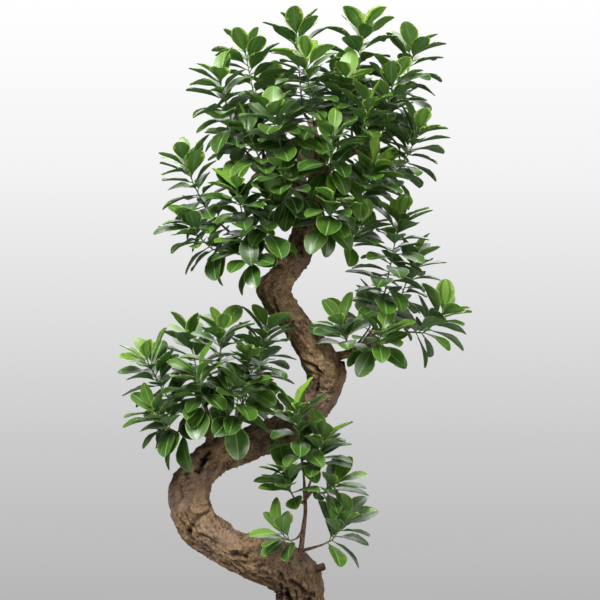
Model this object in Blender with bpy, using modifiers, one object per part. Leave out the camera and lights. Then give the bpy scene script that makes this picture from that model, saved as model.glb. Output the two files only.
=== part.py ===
"""Potted ficus: an S-shaped indoor ficus with a bare twisted trunk and leafy tufts, in a plain pot.

Metres, +Z up. The plant's front faces -Y, and the origin is on the floor under the middle of the pot.
The trunk and its bare twigs are one grown piece. Each leafy shoot is a piece of its own: a young stem
that sits on the end of its twig, with its leaves fused to it.
"""

import math
from random import Random

import bmesh
import bpy
from mathutils import Quaternion, Vector
from mathutils.bvhtree import BVHTree

# Pot and soil
POT_HEIGHT = 0.300
POT_RIM_RADIUS = 0.180
POT_NECK_RADIUS = 0.170
POT_BASE_RADIUS = 0.135
POT_WALL = 0.0028
POT_FLOOR = 0.008
RIM_DEPTH = 0.030
RIM_LEAN = 0.002
EDGE_DROP = 0.004
EDGE_TUCK = 0.001
FOOT_TUCK = 0.002
GROOVE_OUTER = 0.102
GROOVE_INNER = 0.070
GROOVE_DEPTH = 0.004
DRAIN_COUNT = 6
DRAIN_RADIUS = 0.007
DRAIN_CIRCLE = 0.086
DRAIN_SIDES = 8
DRAIN_LENGTH = 0.030
SOIL_EDGE_Z = 0.268
SOIL_CROWN_Z = 0.281
SOIL_LUMP = 0.003
SOIL_SEED = 3
HEAP_RINGS = 5
ROUND_STEPS = 28

# Trunk: points along its axis (x, y, z) with the half thickness there, from the buried foot to the top
TRUNK = (
    (0.005, 0.004, 0.232, 0.058),
    (0.005, 0.004, 0.262, 0.066),
    (0.004, 0.003, 0.292, 0.062),
    (0.002, 0.000, 0.340, 0.054),
    (0.000, -0.005, 0.372, 0.055),
    (-0.016, -0.012, 0.401, 0.056),
    (-0.052, -0.020, 0.425, 0.052),
    (-0.097, -0.025, 0.441, 0.052),
    (-0.139, -0.030, 0.453, 0.043),
    (-0.180, -0.030, 0.475, 0.040),
    (-0.220, -0.030, 0.506, 0.045),
    (-0.245, -0.020, 0.551, 0.043),
    (-0.247, -0.010, 0.592, 0.044),
    (-0.229, 0.000, 0.630, 0.039),
    (-0.196, 0.010, 0.659, 0.038),
    (-0.139, 0.020, 0.682, 0.036),
    (-0.067, 0.030, 0.709, 0.035),
    (-0.009, 0.030, 0.736, 0.035),
    (0.029, 0.020, 0.772, 0.036),
    (0.052, 0.010, 0.812, 0.038),
    (0.056, -0.005, 0.851, 0.042),
    (0.043, -0.015, 0.887, 0.039),
    (0.016, -0.020, 0.925, 0.035),
    (-0.013, -0.020, 0.966, 0.033),
    (-0.043, -0.015, 1.006, 0.034),
    (-0.054, -0.005, 1.040, 0.035),
    (-0.032, 0.005, 1.076, 0.030),
    (-0.007, 0.010, 1.112, 0.030),
    (0.007, 0.010, 1.150, 0.032),
    (0.016, 0.005, 1.184, 0.029),
    (0.027, 0.000, 1.218, 0.027),
    (0.036, 0.000, 1.254, 0.025),
    (0.040, 0.000, 1.289, 0.021),
    (0.040, 0.000, 1.330, 0.018),
    (0.036, 0.000, 1.375, 0.013),
)
TRUNK_SIDES = 16
TRUNK_RING_SPACING = 0.029
FRONT = Vector((0.0, -1.0, 0.0))
SOIL_GAP = 0.0004
HOLE_HEADROOM = 0.04

# Flutes along the trunk: how many go round, their share of its thickness, and their twist in radians a metre
FLUTES = (
    (2, 0.045, 5.0),
    (3, 0.035, -7.0),
)

# Root flare: lobes round the foot that die out upwards, set unevenly round it
ROOT_LOBES = 5
ROOT_TURN = 0.6
ROOT_UNEVEN = 0.9
ROOT_SHARPNESS = 1.5
ROOT_SWELL = 0.016
ROOT_TOP_Z = 0.385

# Swellings on the trunk: the centre of each, how far it stands out, and its reach
KNOTS = (
    ((-0.125, -0.075, 0.452), 0.007, 0.024),
    ((-0.085, -0.075, 0.440), 0.006, 0.026),
    ((-0.165, -0.020, 0.512), 0.008, 0.018),
    ((-0.245, -0.040, 0.625), 0.006, 0.020),
    ((-0.225, 0.040, 0.540), 0.008, 0.030),
    ((0.098, -0.010, 0.848), 0.007, 0.022),
    ((-0.088, -0.010, 1.046), 0.010, 0.020),
    ((0.025, 0.020, 1.100), 0.005, 0.022),
)

# Short cut stubs on the trunk: start inside the wood, end, radius
STUBS = (
    ((0.010, -0.020, 0.402), (0.054, -0.036, 0.421), 0.0100),
    ((-0.225, -0.010, 0.625), (-0.243, -0.052, 0.668), 0.0090),
    ((0.050, -0.010, 0.870), (0.098, -0.030, 0.872), 0.0100),
    ((0.000, 0.010, 1.130), (0.046, -0.022, 1.146), 0.0060),
)

STUB_TAPER = 0.8
LIMB_SPACING = 0.02
LIMB_RING_SPACING = 0.03

# Bare limbs: points along each, then the radius at its start and at its end
LIMBS = {
    "crown_left": (((0.034, 0.000, 1.238), (-0.022, -0.008, 1.282), (-0.080, -0.015, 1.312)), 0.0100, 0.0065),
    "crown_right": (((0.039, 0.000, 1.290), (0.085, 0.004, 1.326), (0.126, 0.010, 1.352)), 0.0095, 0.0065),
    "crown_back": (((0.035, 0.000, 1.250), (0.032, 0.055, 1.290), (0.022, 0.098, 1.325)), 0.0090, 0.0060),
    "crown_front": (((0.030, 0.000, 1.212), (0.042, -0.040, 1.246), (0.046, -0.066, 1.282)), 0.0080, 0.0055),
    "crown_top": (((0.036, 0.000, 1.366), (0.030, 0.014, 1.400), (0.022, 0.026, 1.420)), 0.0100, 0.0060),
    "left": (((-0.012, 0.004, 1.102), (-0.052, -0.022, 1.106), (-0.092, -0.048, 1.112)), 0.0110, 0.0070),
    "right": (((0.016, 0.005, 1.150), (0.050, -0.012, 1.156), (0.076, -0.020, 1.166)), 0.0070, 0.0050),
    "bend_right": (((0.050, -0.008, 0.884), (0.098, -0.012, 0.892), (0.136, -0.012, 0.908)), 0.0120, 0.0075),
    "bend_left": (((-0.214, 0.000, 0.650), (-0.205, -0.004, 0.692), (-0.200, -0.006, 0.720)), 0.0120, 0.0080),
    "bend_middle": (((-0.140, 0.020, 0.682), (-0.138, 0.006, 0.715), (-0.138, 0.000, 0.728)), 0.0085, 0.0065),
    "low_front": (
        ((0.000, -0.010, 0.436), (0.006, -0.040, 0.492), (0.012, -0.056, 0.545), (0.010, -0.056, 0.590)),
        0.0065,
        0.0038,
    ),
}

# Leafy shoots: the limb each grows from, how far along it, where its leafy stem starts, and its tip
SHOOTS = {
    "crown_01": ("crown_left", 1.00, (-0.090, 0.045, 1.425), (-0.126, 0.065, 1.588)),
    "crown_02": ("crown_top", 1.00, (0.006, 0.040, 1.450), (-0.009, 0.045, 1.628)),
    "crown_03": ("crown_front", 1.00, (0.034, -0.095, 1.375), (0.013, -0.125, 1.542)),
    "crown_04": ("crown_front", 0.90, (0.062, -0.108, 1.290), (0.072, -0.185, 1.372)),
    "crown_05": ("crown_right", 0.95, (0.116, -0.022, 1.412), (0.142, -0.030, 1.622)),
    "crown_06": ("crown_right", 1.00, (0.188, 0.028, 1.405), (0.262, 0.038, 1.588)),
    "crown_07": ("crown_left", 0.95, (-0.120, -0.066, 1.345), (-0.178, -0.118, 1.502)),
    "crown_08": ("crown_right", 0.60, (0.176, -0.040, 1.270), (0.266, -0.065, 1.392)),
    "crown_09": ("left", 1.00, (-0.172, -0.055, 1.180), (-0.255, -0.085, 1.320)),
    "crown_10": ("left", 0.80, (-0.100, -0.096, 1.130), (-0.138, -0.165, 1.262)),
    "crown_11": ("left", 0.95, (-0.150, -0.085, 1.126), (-0.248, -0.125, 1.190)),
    "crown_12": ("crown_front", 0.60, (0.112, -0.092, 1.226), (0.160, -0.145, 1.312)),
    "crown_13": ("crown_back", 1.00, (-0.034, 0.140, 1.395), (-0.063, 0.175, 1.512)),
    "crown_14": ("crown_top", 0.80, (0.079, 0.085, 1.440), (0.095, 0.150, 1.555)),
    "crown_15": ("crown_right", 0.90, (0.165, 0.120, 1.355), (0.212, 0.175, 1.470)),
    "crown_16": ("crown_left", 0.80, (-0.104, 0.085, 1.315), (-0.160, 0.135, 1.418)),
    "crown_17": ("crown_back", 0.85, (0.010, 0.160, 1.300), (-0.006, 0.235, 1.385)),
    "crown_18": ("crown_back", 0.50, (0.105, 0.100, 1.248), (0.185, 0.170, 1.315)),
    "crown_19": ("crown_front", 1.00, (-0.024, -0.095, 1.318), (-0.062, -0.160, 1.425)),
    "crown_20": ("crown_front", 0.70, (-0.008, -0.098, 1.232), (-0.040, -0.170, 1.300)),
    "crown_21": ("crown_front", 0.45, (0.058, -0.085, 1.190), (0.072, -0.160, 1.232)),
    "crown_22": ("crown_right", 0.75, (0.110, -0.085, 1.340), (0.150, -0.150, 1.440)),
    "crown_23": ("left", 0.45, (-0.078, -0.085, 1.135), (-0.064, -0.145, 1.240)),
    "crown_24": ("crown_front", 0.80, (-0.050, -0.085, 1.290), (-0.116, -0.140, 1.385)),
    "crown_25": ("crown_right", 0.55, (0.085, -0.070, 1.375), (0.102, -0.108, 1.500)),
    "crown_26": ("left", 0.65, (-0.092, -0.090, 1.100), (-0.134, -0.152, 1.148)),
    "crown_27": ("crown_right", 0.85, (0.170, -0.060, 1.385), (0.208, -0.090, 1.500)),
    "right_1": ("bend_right", 0.95, (0.172, -0.048, 0.970), (0.220, -0.082, 1.200)),
    "right_2": ("bend_right", 0.80, (0.118, -0.058, 0.905), (0.090, -0.098, 0.962)),
    "right_3": ("bend_right", 0.90, (0.242, -0.018, 0.942), (0.324, -0.020, 0.990)),
    "right_4": ("right", 1.00, (0.094, -0.046, 1.140), (0.138, -0.084, 1.178)),
    "right_5": ("bend_right", 0.95, (0.200, 0.050, 0.968), (0.262, 0.078, 1.112)),
    "right_6": ("bend_right", 0.75, (0.148, 0.062, 0.936), (0.176, 0.116, 1.012)),
    "right_7": ("bend_right", 0.92, (0.154, -0.062, 0.914), (0.180, -0.126, 0.948)),
    "left_1": ("bend_left", 1.00, (-0.188, -0.048, 0.772), (-0.172, -0.088, 0.950)),
    "left_2": ("bend_middle", 1.00, (-0.118, -0.030, 0.780), (-0.072, -0.052, 0.955)),
    "left_3": ("bend_left", 0.95, (-0.246, -0.030, 0.758), (-0.340, -0.068, 0.885)),
    "left_4": ("bend_left", 1.00, (-0.214, 0.042, 0.780), (-0.252, 0.062, 0.932)),
    "left_5": ("bend_left", 0.80, (-0.242, -0.064, 0.730), (-0.320, -0.120, 0.772)),
    "left_6": ("bend_middle", 0.90, (-0.140, 0.070, 0.755), (-0.104, 0.120, 0.880)),
    "left_7": ("bend_middle", 0.80, (-0.150, -0.072, 0.742), (-0.132, -0.140, 0.828)),
    "left_8": ("bend_left", 0.90, (-0.205, -0.075, 0.758), (-0.222, -0.140, 0.856)),
    "left_9": ("bend_middle", 0.95, (-0.128, -0.068, 0.785), (-0.120, -0.112, 0.892)),
    "low_1": ("low_front", 1.00, (0.008, -0.060, 0.625), (-0.009, -0.106, 0.780)),
    "low_2": ("low_front", 0.12, (0.048, -0.062, 0.472), (0.102, -0.080, 0.535)),
    "low_3": ("low_front", 0.90, (0.030, -0.068, 0.592), (0.080, -0.094, 0.614)),
    "low_4": ("low_front", 0.46, (-0.006, -0.080, 0.490), (-0.042, -0.108, 0.507)),
    "low_5": ("low_front", 0.85, (-0.008, -0.076, 0.572), (-0.034, -0.108, 0.640)),
    "low_6": ("low_front", 0.92, (0.026, -0.076, 0.622), (0.050, -0.104, 0.710)),
}
SHOOT_SAG = 0.27
SHOOT_SPACING = 0.004
TWIG_POINTS = 3
STEM_POINTS = 4
TWIG_RADIUS = 0.0040
STEM_RADIUS = 0.0024
STEM_TIP_RADIUS = 0.0011
STEM_GAP = 0.0003
CAP_LENGTH = 0.005
WELD_DISTANCE = 0.000002

# Leaves: their size, how closely they follow each other on the stem, and the form of one
LEAF_LENGTH = 0.090
LEAF_SHAPE = 0.52
NODE_PITCH = 0.0053
TIP_PITCH = 0.72
OLD_PITCH = 1.10
OLD_PITCH_AT = 0.05
SOLID_LEAF_STEP = 4
PETIOLE_SHARE = 0.13
ROOT_DEPTH = 0.0006
PETIOLE_RADIUS = 0.0011
STALK_FLATNESS = 0.6
BLADE_THICKNESS = 0.0014
BLADE_STATIONS = ((0.40, 0.86), (0.74, 0.92))
LEAF_FOLD = math.radians(13.0)
LEAF_CLEARANCE = 0.0012

# How leaves stand, from the newest at a stem's tip to the oldest below: how far they lean from the stem,
# how much they hang, and how far they bend over along their length
NEWEST_AT = 0.003
STEM_FOOT = 0.010
OLD_AT = 0.11
GROWN_AT = 0.020
NEWEST_SIZE = 0.76
LEAF_LEAN = (math.radians(27.0), math.radians(66.0))
LEAF_DROOP = (0.06, 0.26)
LEAF_ARCH = (math.radians(14.0), math.radians(42.0))

# Which way a leaf's upper side faces, how quickly its stance changes with age, and how leaves differ
AGE_POWER = 0.6
HANG_FADE = 0.6
STEM_FACING = 0.65
SKY_FACING = 0.75
EDGE_ON = 0.15
LEAN_SPREAD = (-8.0, 8.0)
FACE_SPREAD = (-0.3, 0.3)
SIZE_SPREAD = (0.82, 1.12)
SHAPE_SPREAD = (0.90, 1.12)
ARCH_SPREAD = (-8.0, 12.0)
LEAF_REACH = 0.62
STEM_REACH = 0.6
GOLDEN_ANGLE = math.radians(137.5)
LEAF_SEED = 11

# How a leaf may turn aside when another piece is in its way: round the stem, away from it, and its size
LEAF_DODGES = (
    (0, 0, 1.00), (14, -6, 1.00), (-14, -6, 1.00), (26, 10, 1.00), (-26, 10, 1.00), (8, 22, 0.96),
    (-8, -20, 0.96), (40, -12, 0.94), (-40, -12, 0.94), (56, 14, 0.92), (-56, 14, 0.92), (0, 34, 0.90),
    (24, -26, 0.88), (-24, -26, 0.88), (75, 0, 0.86), (-75, 0, 0.86),
)


def clear_scene():
    for old in list(bpy.data.objects):
        bpy.data.objects.remove(old, do_unlink=True)


def principled(name, color, roughness):
    material = bpy.data.materials.new(name)
    material.use_nodes = True
    shader = material.node_tree.nodes["Principled BSDF"]
    shader.inputs["Base Color"].default_value = (*color, 1.0)
    shader.inputs["Roughness"].default_value = roughness
    shader.inputs["Metallic"].default_value = 0.0
    return material


def add_object(name, data, collection, material=None):
    thing = bpy.data.objects.new(name, data)
    collection.objects.link(thing)
    if material:
        data.materials.clear()
        data.materials.append(material)
    return thing


def applied(thing, name, collection, material=None):
    """A plain mesh of the object as its modifiers leave it. The object itself is removed."""
    depsgraph = bpy.context.evaluated_depsgraph_get()
    mesh = bpy.data.meshes.new_from_object(thing.evaluated_get(depsgraph))
    if thing.type == "CURVE":
        weld_caps(mesh)
    place = thing.matrix_world.copy()
    bpy.data.objects.remove(thing, do_unlink=True)
    mesh.name = name
    solid = add_object(name, mesh, collection, material)
    solid.matrix_world = place
    return solid


def weld_caps(mesh):
    bm = bmesh.new()
    bm.from_mesh(mesh)
    bmesh.ops.remove_doubles(bm, verts=bm.verts, dist=WELD_DISTANCE)
    bm.to_mesh(mesh)
    bm.free()


def fused(body, others, name, collection, material):
    """One solid from a body and the things that grow from it."""
    gathered = bpy.data.collections.new(name + "_joined")
    for other in others:
        collection.objects.unlink(other)
        gathered.objects.link(other)
    union = body.modifiers.new("join", "BOOLEAN")
    union.operation = "UNION"
    union.operand_type = "COLLECTION"
    union.collection = gathered
    union.solver = "EXACT"
    solid = applied(body, name, collection, material)
    for other in list(gathered.objects):
        bpy.data.objects.remove(other, do_unlink=True)
    bpy.data.collections.remove(gathered)
    return solid


def smooth_path(points, spacing):
    """Points along a smooth curve through the given ones. A point may carry its radius as a fourth value."""
    knots = [Vector(point) for point in points]
    knots.insert(0, knots[0] * 2 - knots[1])
    knots.append(knots[-1] * 2 - knots[-2])
    path = []
    for before, start, end, after in zip(knots, knots[1:], knots[2:], knots[3:]):
        steps = max(1, round((end - start).length / spacing))
        for step in range(steps):
            t = step / steps
            path.append(0.5 * (start * 2 + (end - before) * t
                               + (before * 2 - start * 5 + end * 4 - after) * t ** 2
                               + (start * 3 - before - end * 3 + after) * t ** 3))
    path.append(knots[-2])
    return path


def point_along(path, share):
    """The point at a share of the path's length."""
    spans = [(b - a).length for a, b in zip(path, path[1:])]
    left = share * sum(spans)
    for a, span in zip(path, spans):
        if left <= span:
            return a.lerp(path[path.index(a) + 1], left / span)
        left -= span
    return path[-1].copy()


def tube(name, path, start_radius, end_radius, resolution, collection):
    """A closed round stick along the path that tapers from one radius to the other."""
    curve = bpy.data.curves.new(name, "CURVE")
    curve.dimensions = "3D"
    curve.bevel_depth = start_radius
    curve.bevel_resolution = resolution
    curve.use_fill_caps = True
    spline = curve.splines.new("POLY")
    spline.points.add(len(path) - 1)
    for i, (point, co) in enumerate(zip(spline.points, path)):
        point.co = (*co, 1.0)
        point.radius = 1.0 + (end_radius / start_radius - 1.0) * i / (len(path) - 1)
    return applied(add_object(name, curve, collection), name, collection)


def loft(name, rings, collection):
    """A closed skin over rings of equal count, capped at both ends."""
    bm = bmesh.new()
    loops = [[bm.verts.new(co) for co in ring] for ring in rings]
    count = len(loops[0])
    for lower, upper in zip(loops, loops[1:]):
        for i in range(count):
            j = (i + 1) % count
            bm.faces.new((lower[i], lower[j], upper[j]))
            bm.faces.new((lower[i], upper[j], upper[i]))
    bm.faces.new(loops[0][::-1])
    bm.faces.new(loops[-1])
    bmesh.ops.recalc_face_normals(bm, faces=bm.faces)
    mesh = bpy.data.meshes.new(name)
    bm.to_mesh(mesh)
    bm.free()
    return add_object(name, mesh, collection)


def root_swell(angle, z):
    """How far the root lobes stand out from the foot at this angle and height."""
    fade = min(1.0, max(0.0, (ROOT_TOP_Z - z) / (ROOT_TOP_Z - SOIL_CROWN_Z)))
    lobe = 0.5 + 0.5 * math.cos(ROOT_LOBES * angle + ROOT_TURN + ROOT_UNEVEN * math.sin(angle))
    return ROOT_SWELL * (fade * lobe) ** ROOT_SHARPNESS


def trunk_rings(path, extra=0.0):
    """Rings of points round the trunk's axis, with its flutes, roots and knots."""
    rings = []
    length = 0.0
    for i, station in enumerate(path):
        here = station.to_3d()
        ahead = path[min(i + 1, len(path) - 1)].to_3d()
        behind = path[max(i - 1, 0)].to_3d()
        along = (ahead - behind).normalized()
        front = (FRONT - along * FRONT.dot(along)).normalized()
        side = along.cross(front)
        length += (here - behind).length
        ring = []
        for k in range(TRUNK_SIDES):
            angle = math.tau * k / TRUNK_SIDES
            outward = front * math.cos(angle) + side * math.sin(angle)
            flutes = sum(share * math.cos(count * angle + twist * length) for count, share, twist in FLUTES)
            reach = station[3] * (1.0 + flutes) + root_swell(angle, here.z) + extra
            skin = here + outward * reach
            for centre, height, spread in KNOTS:
                reach += height * math.exp(-((skin - Vector(centre)).length / spread) ** 2)
            ring.append(here + outward * reach)
        rings.append(ring)
    return rings


def make_pot(collection, cutters, material):
    """A moulded pot: one wall turned round the axis, a turned-over rim, and drain holes in a groove below."""
    taper = (POT_NECK_RADIUS - POT_BASE_RADIUS) / POT_HEIGHT
    rim_z = POT_HEIGHT - RIM_DEPTH
    neck = POT_BASE_RADIUS + taper * rim_z
    profile = (
        (0.0, POT_FLOOR),
        (POT_BASE_RADIUS - POT_WALL, POT_FLOOR),
        (neck - POT_WALL, rim_z),
        (POT_RIM_RADIUS - POT_WALL * 2, POT_HEIGHT - EDGE_DROP),
        (POT_RIM_RADIUS - POT_WALL, POT_HEIGHT),
        (POT_RIM_RADIUS - EDGE_TUCK, POT_HEIGHT - EDGE_TUCK),
        (POT_RIM_RADIUS, POT_HEIGHT - EDGE_DROP),
        (POT_RIM_RADIUS - RIM_LEAN, rim_z),
        (neck, rim_z),
        (POT_BASE_RADIUS + taper * EDGE_DROP, EDGE_DROP),
        (POT_BASE_RADIUS - FOOT_TUCK, 0.0),
        (GROOVE_OUTER, 0.0),
        (GROOVE_OUTER, GROOVE_DEPTH),
        (GROOVE_INNER, GROOVE_DEPTH),
        (GROOVE_INNER, 0.0),
        (0.0, 0.0),
    )
    pot = turned("pot_wall", profile, collection)
    for k in range(DRAIN_COUNT):
        angle = math.tau * k / DRAIN_COUNT
        bpy.ops.mesh.primitive_cylinder_add(vertices=DRAIN_SIDES, radius=DRAIN_RADIUS, depth=DRAIN_LENGTH)
        drain = bpy.context.object
        drain.name = f"drain_cutter_{k + 1}"
        drain.location = (DRAIN_CIRCLE * math.cos(angle), DRAIN_CIRCLE * math.sin(angle), POT_FLOOR)
        move_to_cutters(drain, cutters)
        hole = pot.modifiers.new(f"drain_{k + 1}", "BOOLEAN")
        hole.operation = "DIFFERENCE"
        hole.object = drain
    pot.name = "pot"
    pot.data.materials.append(material)


def move_to_cutters(cutter, cutters):
    for home in list(cutter.users_collection):
        home.objects.unlink(cutter)
    cutters.objects.link(cutter)
    cutter.hide_render = True
    cutter.display_type = "WIRE"


def turned(name, profile, collection):
    """A solid of revolution from a closed half profile in the XZ plane."""
    mesh = bpy.data.meshes.new(name)
    points = [(x, 0.0, z) for x, z in profile]
    mesh.from_pydata(points, [(i, i + 1) for i in range(len(points) - 1)], [])
    solid = add_object(name, mesh, collection)
    screw = solid.modifiers.new("turn", "SCREW")
    screw.steps = ROUND_STEPS
    screw.render_steps = ROUND_STEPS
    screw.use_merge_vertices = True
    screw.merge_threshold = 0.00005
    screw.use_smooth_shade = True
    return solid


def make_soil(collection, cutters, material, foot_rings):
    """Loose damp soil up to just under the rim, a little heaped towards the trunk, with a hole for its foot."""
    taper = (POT_NECK_RADIUS - POT_BASE_RADIUS) / POT_HEIGHT
    floor_z = POT_FLOOR + STEM_GAP
    wall_at = POT_BASE_RADIUS - POT_WALL - 2 * STEM_GAP
    edge = wall_at + taper * (SOIL_EDGE_Z - floor_z)
    heap = [(edge * k / HEAP_RINGS, SOIL_CROWN_Z - (SOIL_CROWN_Z - SOIL_EDGE_Z) * (k / HEAP_RINGS) ** 2)
            for k in range(HEAP_RINGS + 1)]
    soil = turned("soil_fill", [*heap, (wall_at, floor_z), (0.0, floor_z)], collection)
    soil = applied(soil, "soil_fill", collection)
    draw = Random(SOIL_SEED)
    for vertex in soil.data.vertices:
        off_axis = vertex.co.xy.length > edge / ROUND_STEPS
        if vertex.co.z > SOIL_EDGE_Z + STEM_GAP and off_axis:
            vertex.co.z += draw.uniform(-SOIL_LUMP, SOIL_LUMP)
    cutter = loft("trunk_hole_cutter", foot_rings, cutters)
    move_to_cutters(cutter, cutters)
    hole = soil.modifiers.new("trunk_hole", "BOOLEAN")
    hole.operation = "DIFFERENCE"
    hole.object = cutter
    soil.name = "soil"
    soil.data.materials.append(material)


def shoot_path(shoot):
    """A shoot's line in two parts: its bare twig, and the leafy stem that sits on the twig's end."""
    limb, share, base, tip = shoot
    fork = point_along(smooth_path(LIMBS[limb][0], LIMB_SPACING), share)
    base, tip = Vector(base), Vector(tip)
    middle = (base + tip) / 2 - Vector((0.0, 0.0, SHOOT_SAG)) * (tip - base).to_2d().length
    whole = smooth_path((fork, base, middle, tip), SHOOT_SPACING)
    split = min(range(len(whole)), key=lambda i: (whole[i] - base).length)
    heading = (whole[split + 1] - whole[split - 1]).normalized()
    twig = [*thinned(whole[:split - 2], TWIG_POINTS), base - heading * CAP_LENGTH, base]
    start = base + heading * STEM_GAP
    stem = [start, start + heading * CAP_LENGTH, *thinned(whole[split:], STEM_POINTS)[1:]]
    return twig, stem


def thinned(path, count):
    """The path with only a few of its points, its two ends among them."""
    last = len(path) - 1
    return [path[round(last * k / (count - 1))] for k in range(count)]


def leaf_frame(root, along, up, length, width, arch, clearance=0.0):
    """The corner points of a leaf: its stalk's two ends and the blade's two stations, then the blade's tip."""
    side = along.cross(up).normalized()
    up = side.cross(along).normalized()
    length += clearance
    width += 2 * clearance

    def midrib(t):
        turn = arch * t
        return root + along * length * math.sin(turn) / arch - up * length * (1 - math.cos(turn)) / arch

    def lift(t):
        return up * math.cos(arch * t) + along * math.sin(arch * t)

    stalk = PETIOLE_RADIUS + clearance
    middle = midrib(PETIOLE_SHARE)
    top = middle + lift(PETIOLE_SHARE) * stalk * STALK_FLATNESS
    corners = [[root - along * ROOT_DEPTH],
               [top - side * stalk, middle - lift(PETIOLE_SHARE) * stalk, top + side * stalk]]
    for t, share in BLADE_STATIONS:
        middle = midrib(t)
        half = width / 2 * share
        rise = lift(t) * half * math.tan(LEAF_FOLD)
        thick = lift(t) * (BLADE_THICKNESS / 2 + clearance)
        left = middle - side * half + rise
        right = middle + side * half + rise
        corners.append([left, middle - thick, right, middle + thick])
    return corners, midrib(1.0)


def leaf_faces(with_stalk):
    """The triangles of a leaf, split alike on its two sides, as indices into its points."""
    a = 1 if with_stalk else 0
    faces = [(0, 1, 2), (0, 2, 3), (0, 3, 1)] if with_stalk else [(0, 1, 2)]
    faces += [(a, a + 3, a + 1), (a + 1, a + 3, a + 4), (a + 2, a + 1, a + 5), (a + 1, a + 4, a + 5)]
    faces += [(a + 2, a + 5, a + 6), (a + 2, a + 6, a), (a, a + 6, a + 3)]
    a += 3
    for k in (0, 2):
        faces += [(a + k, a + 4 + k, a + k + 1), (a + k + 1, a + 4 + k, a + 5 + k)]
        j = (k + 2) % 4
        faces += [(a + k + 1, a + 4 + j, a + j), (a + k + 1, a + 5 + k, a + 4 + j)]
    a += 4
    return faces + [(a + k, a + 4, a + (k + 1) % 4) for k in range(4)]


def leaf_tree(corners, tip, with_stalk):
    """A search tree of the leaf's skin, for finding what it would touch."""
    used = corners if with_stalk else corners[1:]
    points = [co for ring in used for co in ring] + [tip]
    return BVHTree.FromPolygons(points, leaf_faces(with_stalk))


def between(ends, share):
    return ends[0] + (ends[1] - ends[0]) * share


def leaf_directions(path):
    """Places along a leafy stem from its tip down, with the stem's direction and the distance from the tip."""
    back = path[::-1]
    places = []
    travelled = 0.0
    wanted = NEWEST_AT
    for a, b in zip(back, back[1:]):
        span = (b - a).length
        while wanted <= travelled + span:
            places.append((a.lerp(b, (wanted - travelled) / span), (a - b).normalized(), wanted))
            wanted += NODE_PITCH * between((TIP_PITCH, OLD_PITCH), min(1.0, wanted / OLD_PITCH_AT))
        travelled += span
    return [place for place in places if place[2] < travelled - STEM_FOOT]


def leaf_choice(index, place, turn, draw, dodge):
    """One way to set a leaf at a place on the stem: the newest stand up, the oldest lie out and hang."""
    root, up_stem, distance = place
    spin, lean, size = dodge
    age = min(1.0, distance / OLD_AT)
    turned_by = Quaternion(up_stem, turn + index * GOLDEN_ANGLE + math.radians(spin))
    outward = turned_by @ up_stem.orthogonal().normalized()
    away = between(LEAF_LEAN, age ** AGE_POWER) + math.radians(draw["lean"] + lean)
    along = (up_stem * math.cos(away) + outward * math.sin(away)).normalized()
    hang = Vector((0.0, 0.0, -between(LEAF_DROOP, age)))
    along = (along + hang * (1.0 - abs(along.z) * HANG_FADE)).normalized()
    face = up_stem * STEM_FACING + Vector((0.0, 0.0, SKY_FACING)) + draw["face"]
    if face.cross(along).length < EDGE_ON:
        face = outward
    length = LEAF_LENGTH * between((NEWEST_SIZE, 1.0), min(1.0, distance / GROWN_AT)) * draw["size"] * size
    arch = between(LEAF_ARCH, age) + math.radians(draw["arch"])
    return root, along, face, length, length * LEAF_SHAPE * draw["shape"], arch


def leaf_draws(draw):
    """The random part of one leaf's growth."""
    return {
        "lean": draw.uniform(*LEAN_SPREAD),
        "face": Vector((draw.uniform(*FACE_SPREAD), draw.uniform(*FACE_SPREAD), 0.0)),
        "size": draw.uniform(*SIZE_SPREAD),
        "shape": draw.uniform(*SHAPE_SPREAD),
        "arch": draw.uniform(*ARCH_SPREAD),
    }


class Space:
    """What already stands in the plant's space."""

    def __init__(self):
        self.things = []

    def add(self, tree, centre, reach, owner):
        self.things.append((tree, centre, reach, owner))

    def is_clear(self, whole, blade, centre, reach, owner):
        for tree, other, other_reach, other_owner in self.things:
            if other and (other - centre).length > reach + other_reach:
                continue
            mine = blade if owner == other_owner else whole
            if mine.overlap(tree):
                return False
        return True


def mesh_tree(thing):
    mesh = thing.data
    points = [vertex.co.copy() for vertex in mesh.vertices]
    return BVHTree.FromPolygons(points, [tuple(polygon.vertices) for polygon in mesh.polygons])


def grow_leaves(stems, space):
    """Sets leaves on every stem, each turned aside or left out where it would touch another piece."""
    grown = {name: [] for name in stems}
    for rank, (name, path) in enumerate(stems.items()):
        draw = Random(LEAF_SEED + rank)
        turn = draw.uniform(0, math.tau)
        for index, place in enumerate(leaf_directions(path)):
            traits = leaf_draws(draw)
            if index % SOLID_LEAF_STEP:
                continue
            for dodge in LEAF_DODGES:
                leaf = leaf_choice(index, place, turn, traits, dodge)
                corners, tip = leaf_frame(*leaf, LEAF_CLEARANCE)
                whole = leaf_tree(corners, tip, True)
                blade = leaf_tree(corners, tip, False)
                centre = (corners[0][0] + tip) / 2
                reach = leaf[3] * LEAF_REACH
                if space.is_clear(whole, blade, centre, reach, name):
                    space.add(blade, centre, reach, name)
                    grown[name].append(leaf)
                    break
    return grown


def leaf_solid(name, leaf, collection):
    corners, tip = leaf_frame(*leaf)
    points = [co for ring in corners for co in ring] + [tip]
    mesh = bpy.data.meshes.new(name)
    mesh.from_pydata(points, [], leaf_faces(True))
    bm = bmesh.new()
    bm.from_mesh(mesh)
    bmesh.ops.recalc_face_normals(bm, faces=bm.faces)
    bm.to_mesh(mesh)
    bm.free()
    return add_object(name, mesh, collection)


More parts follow.
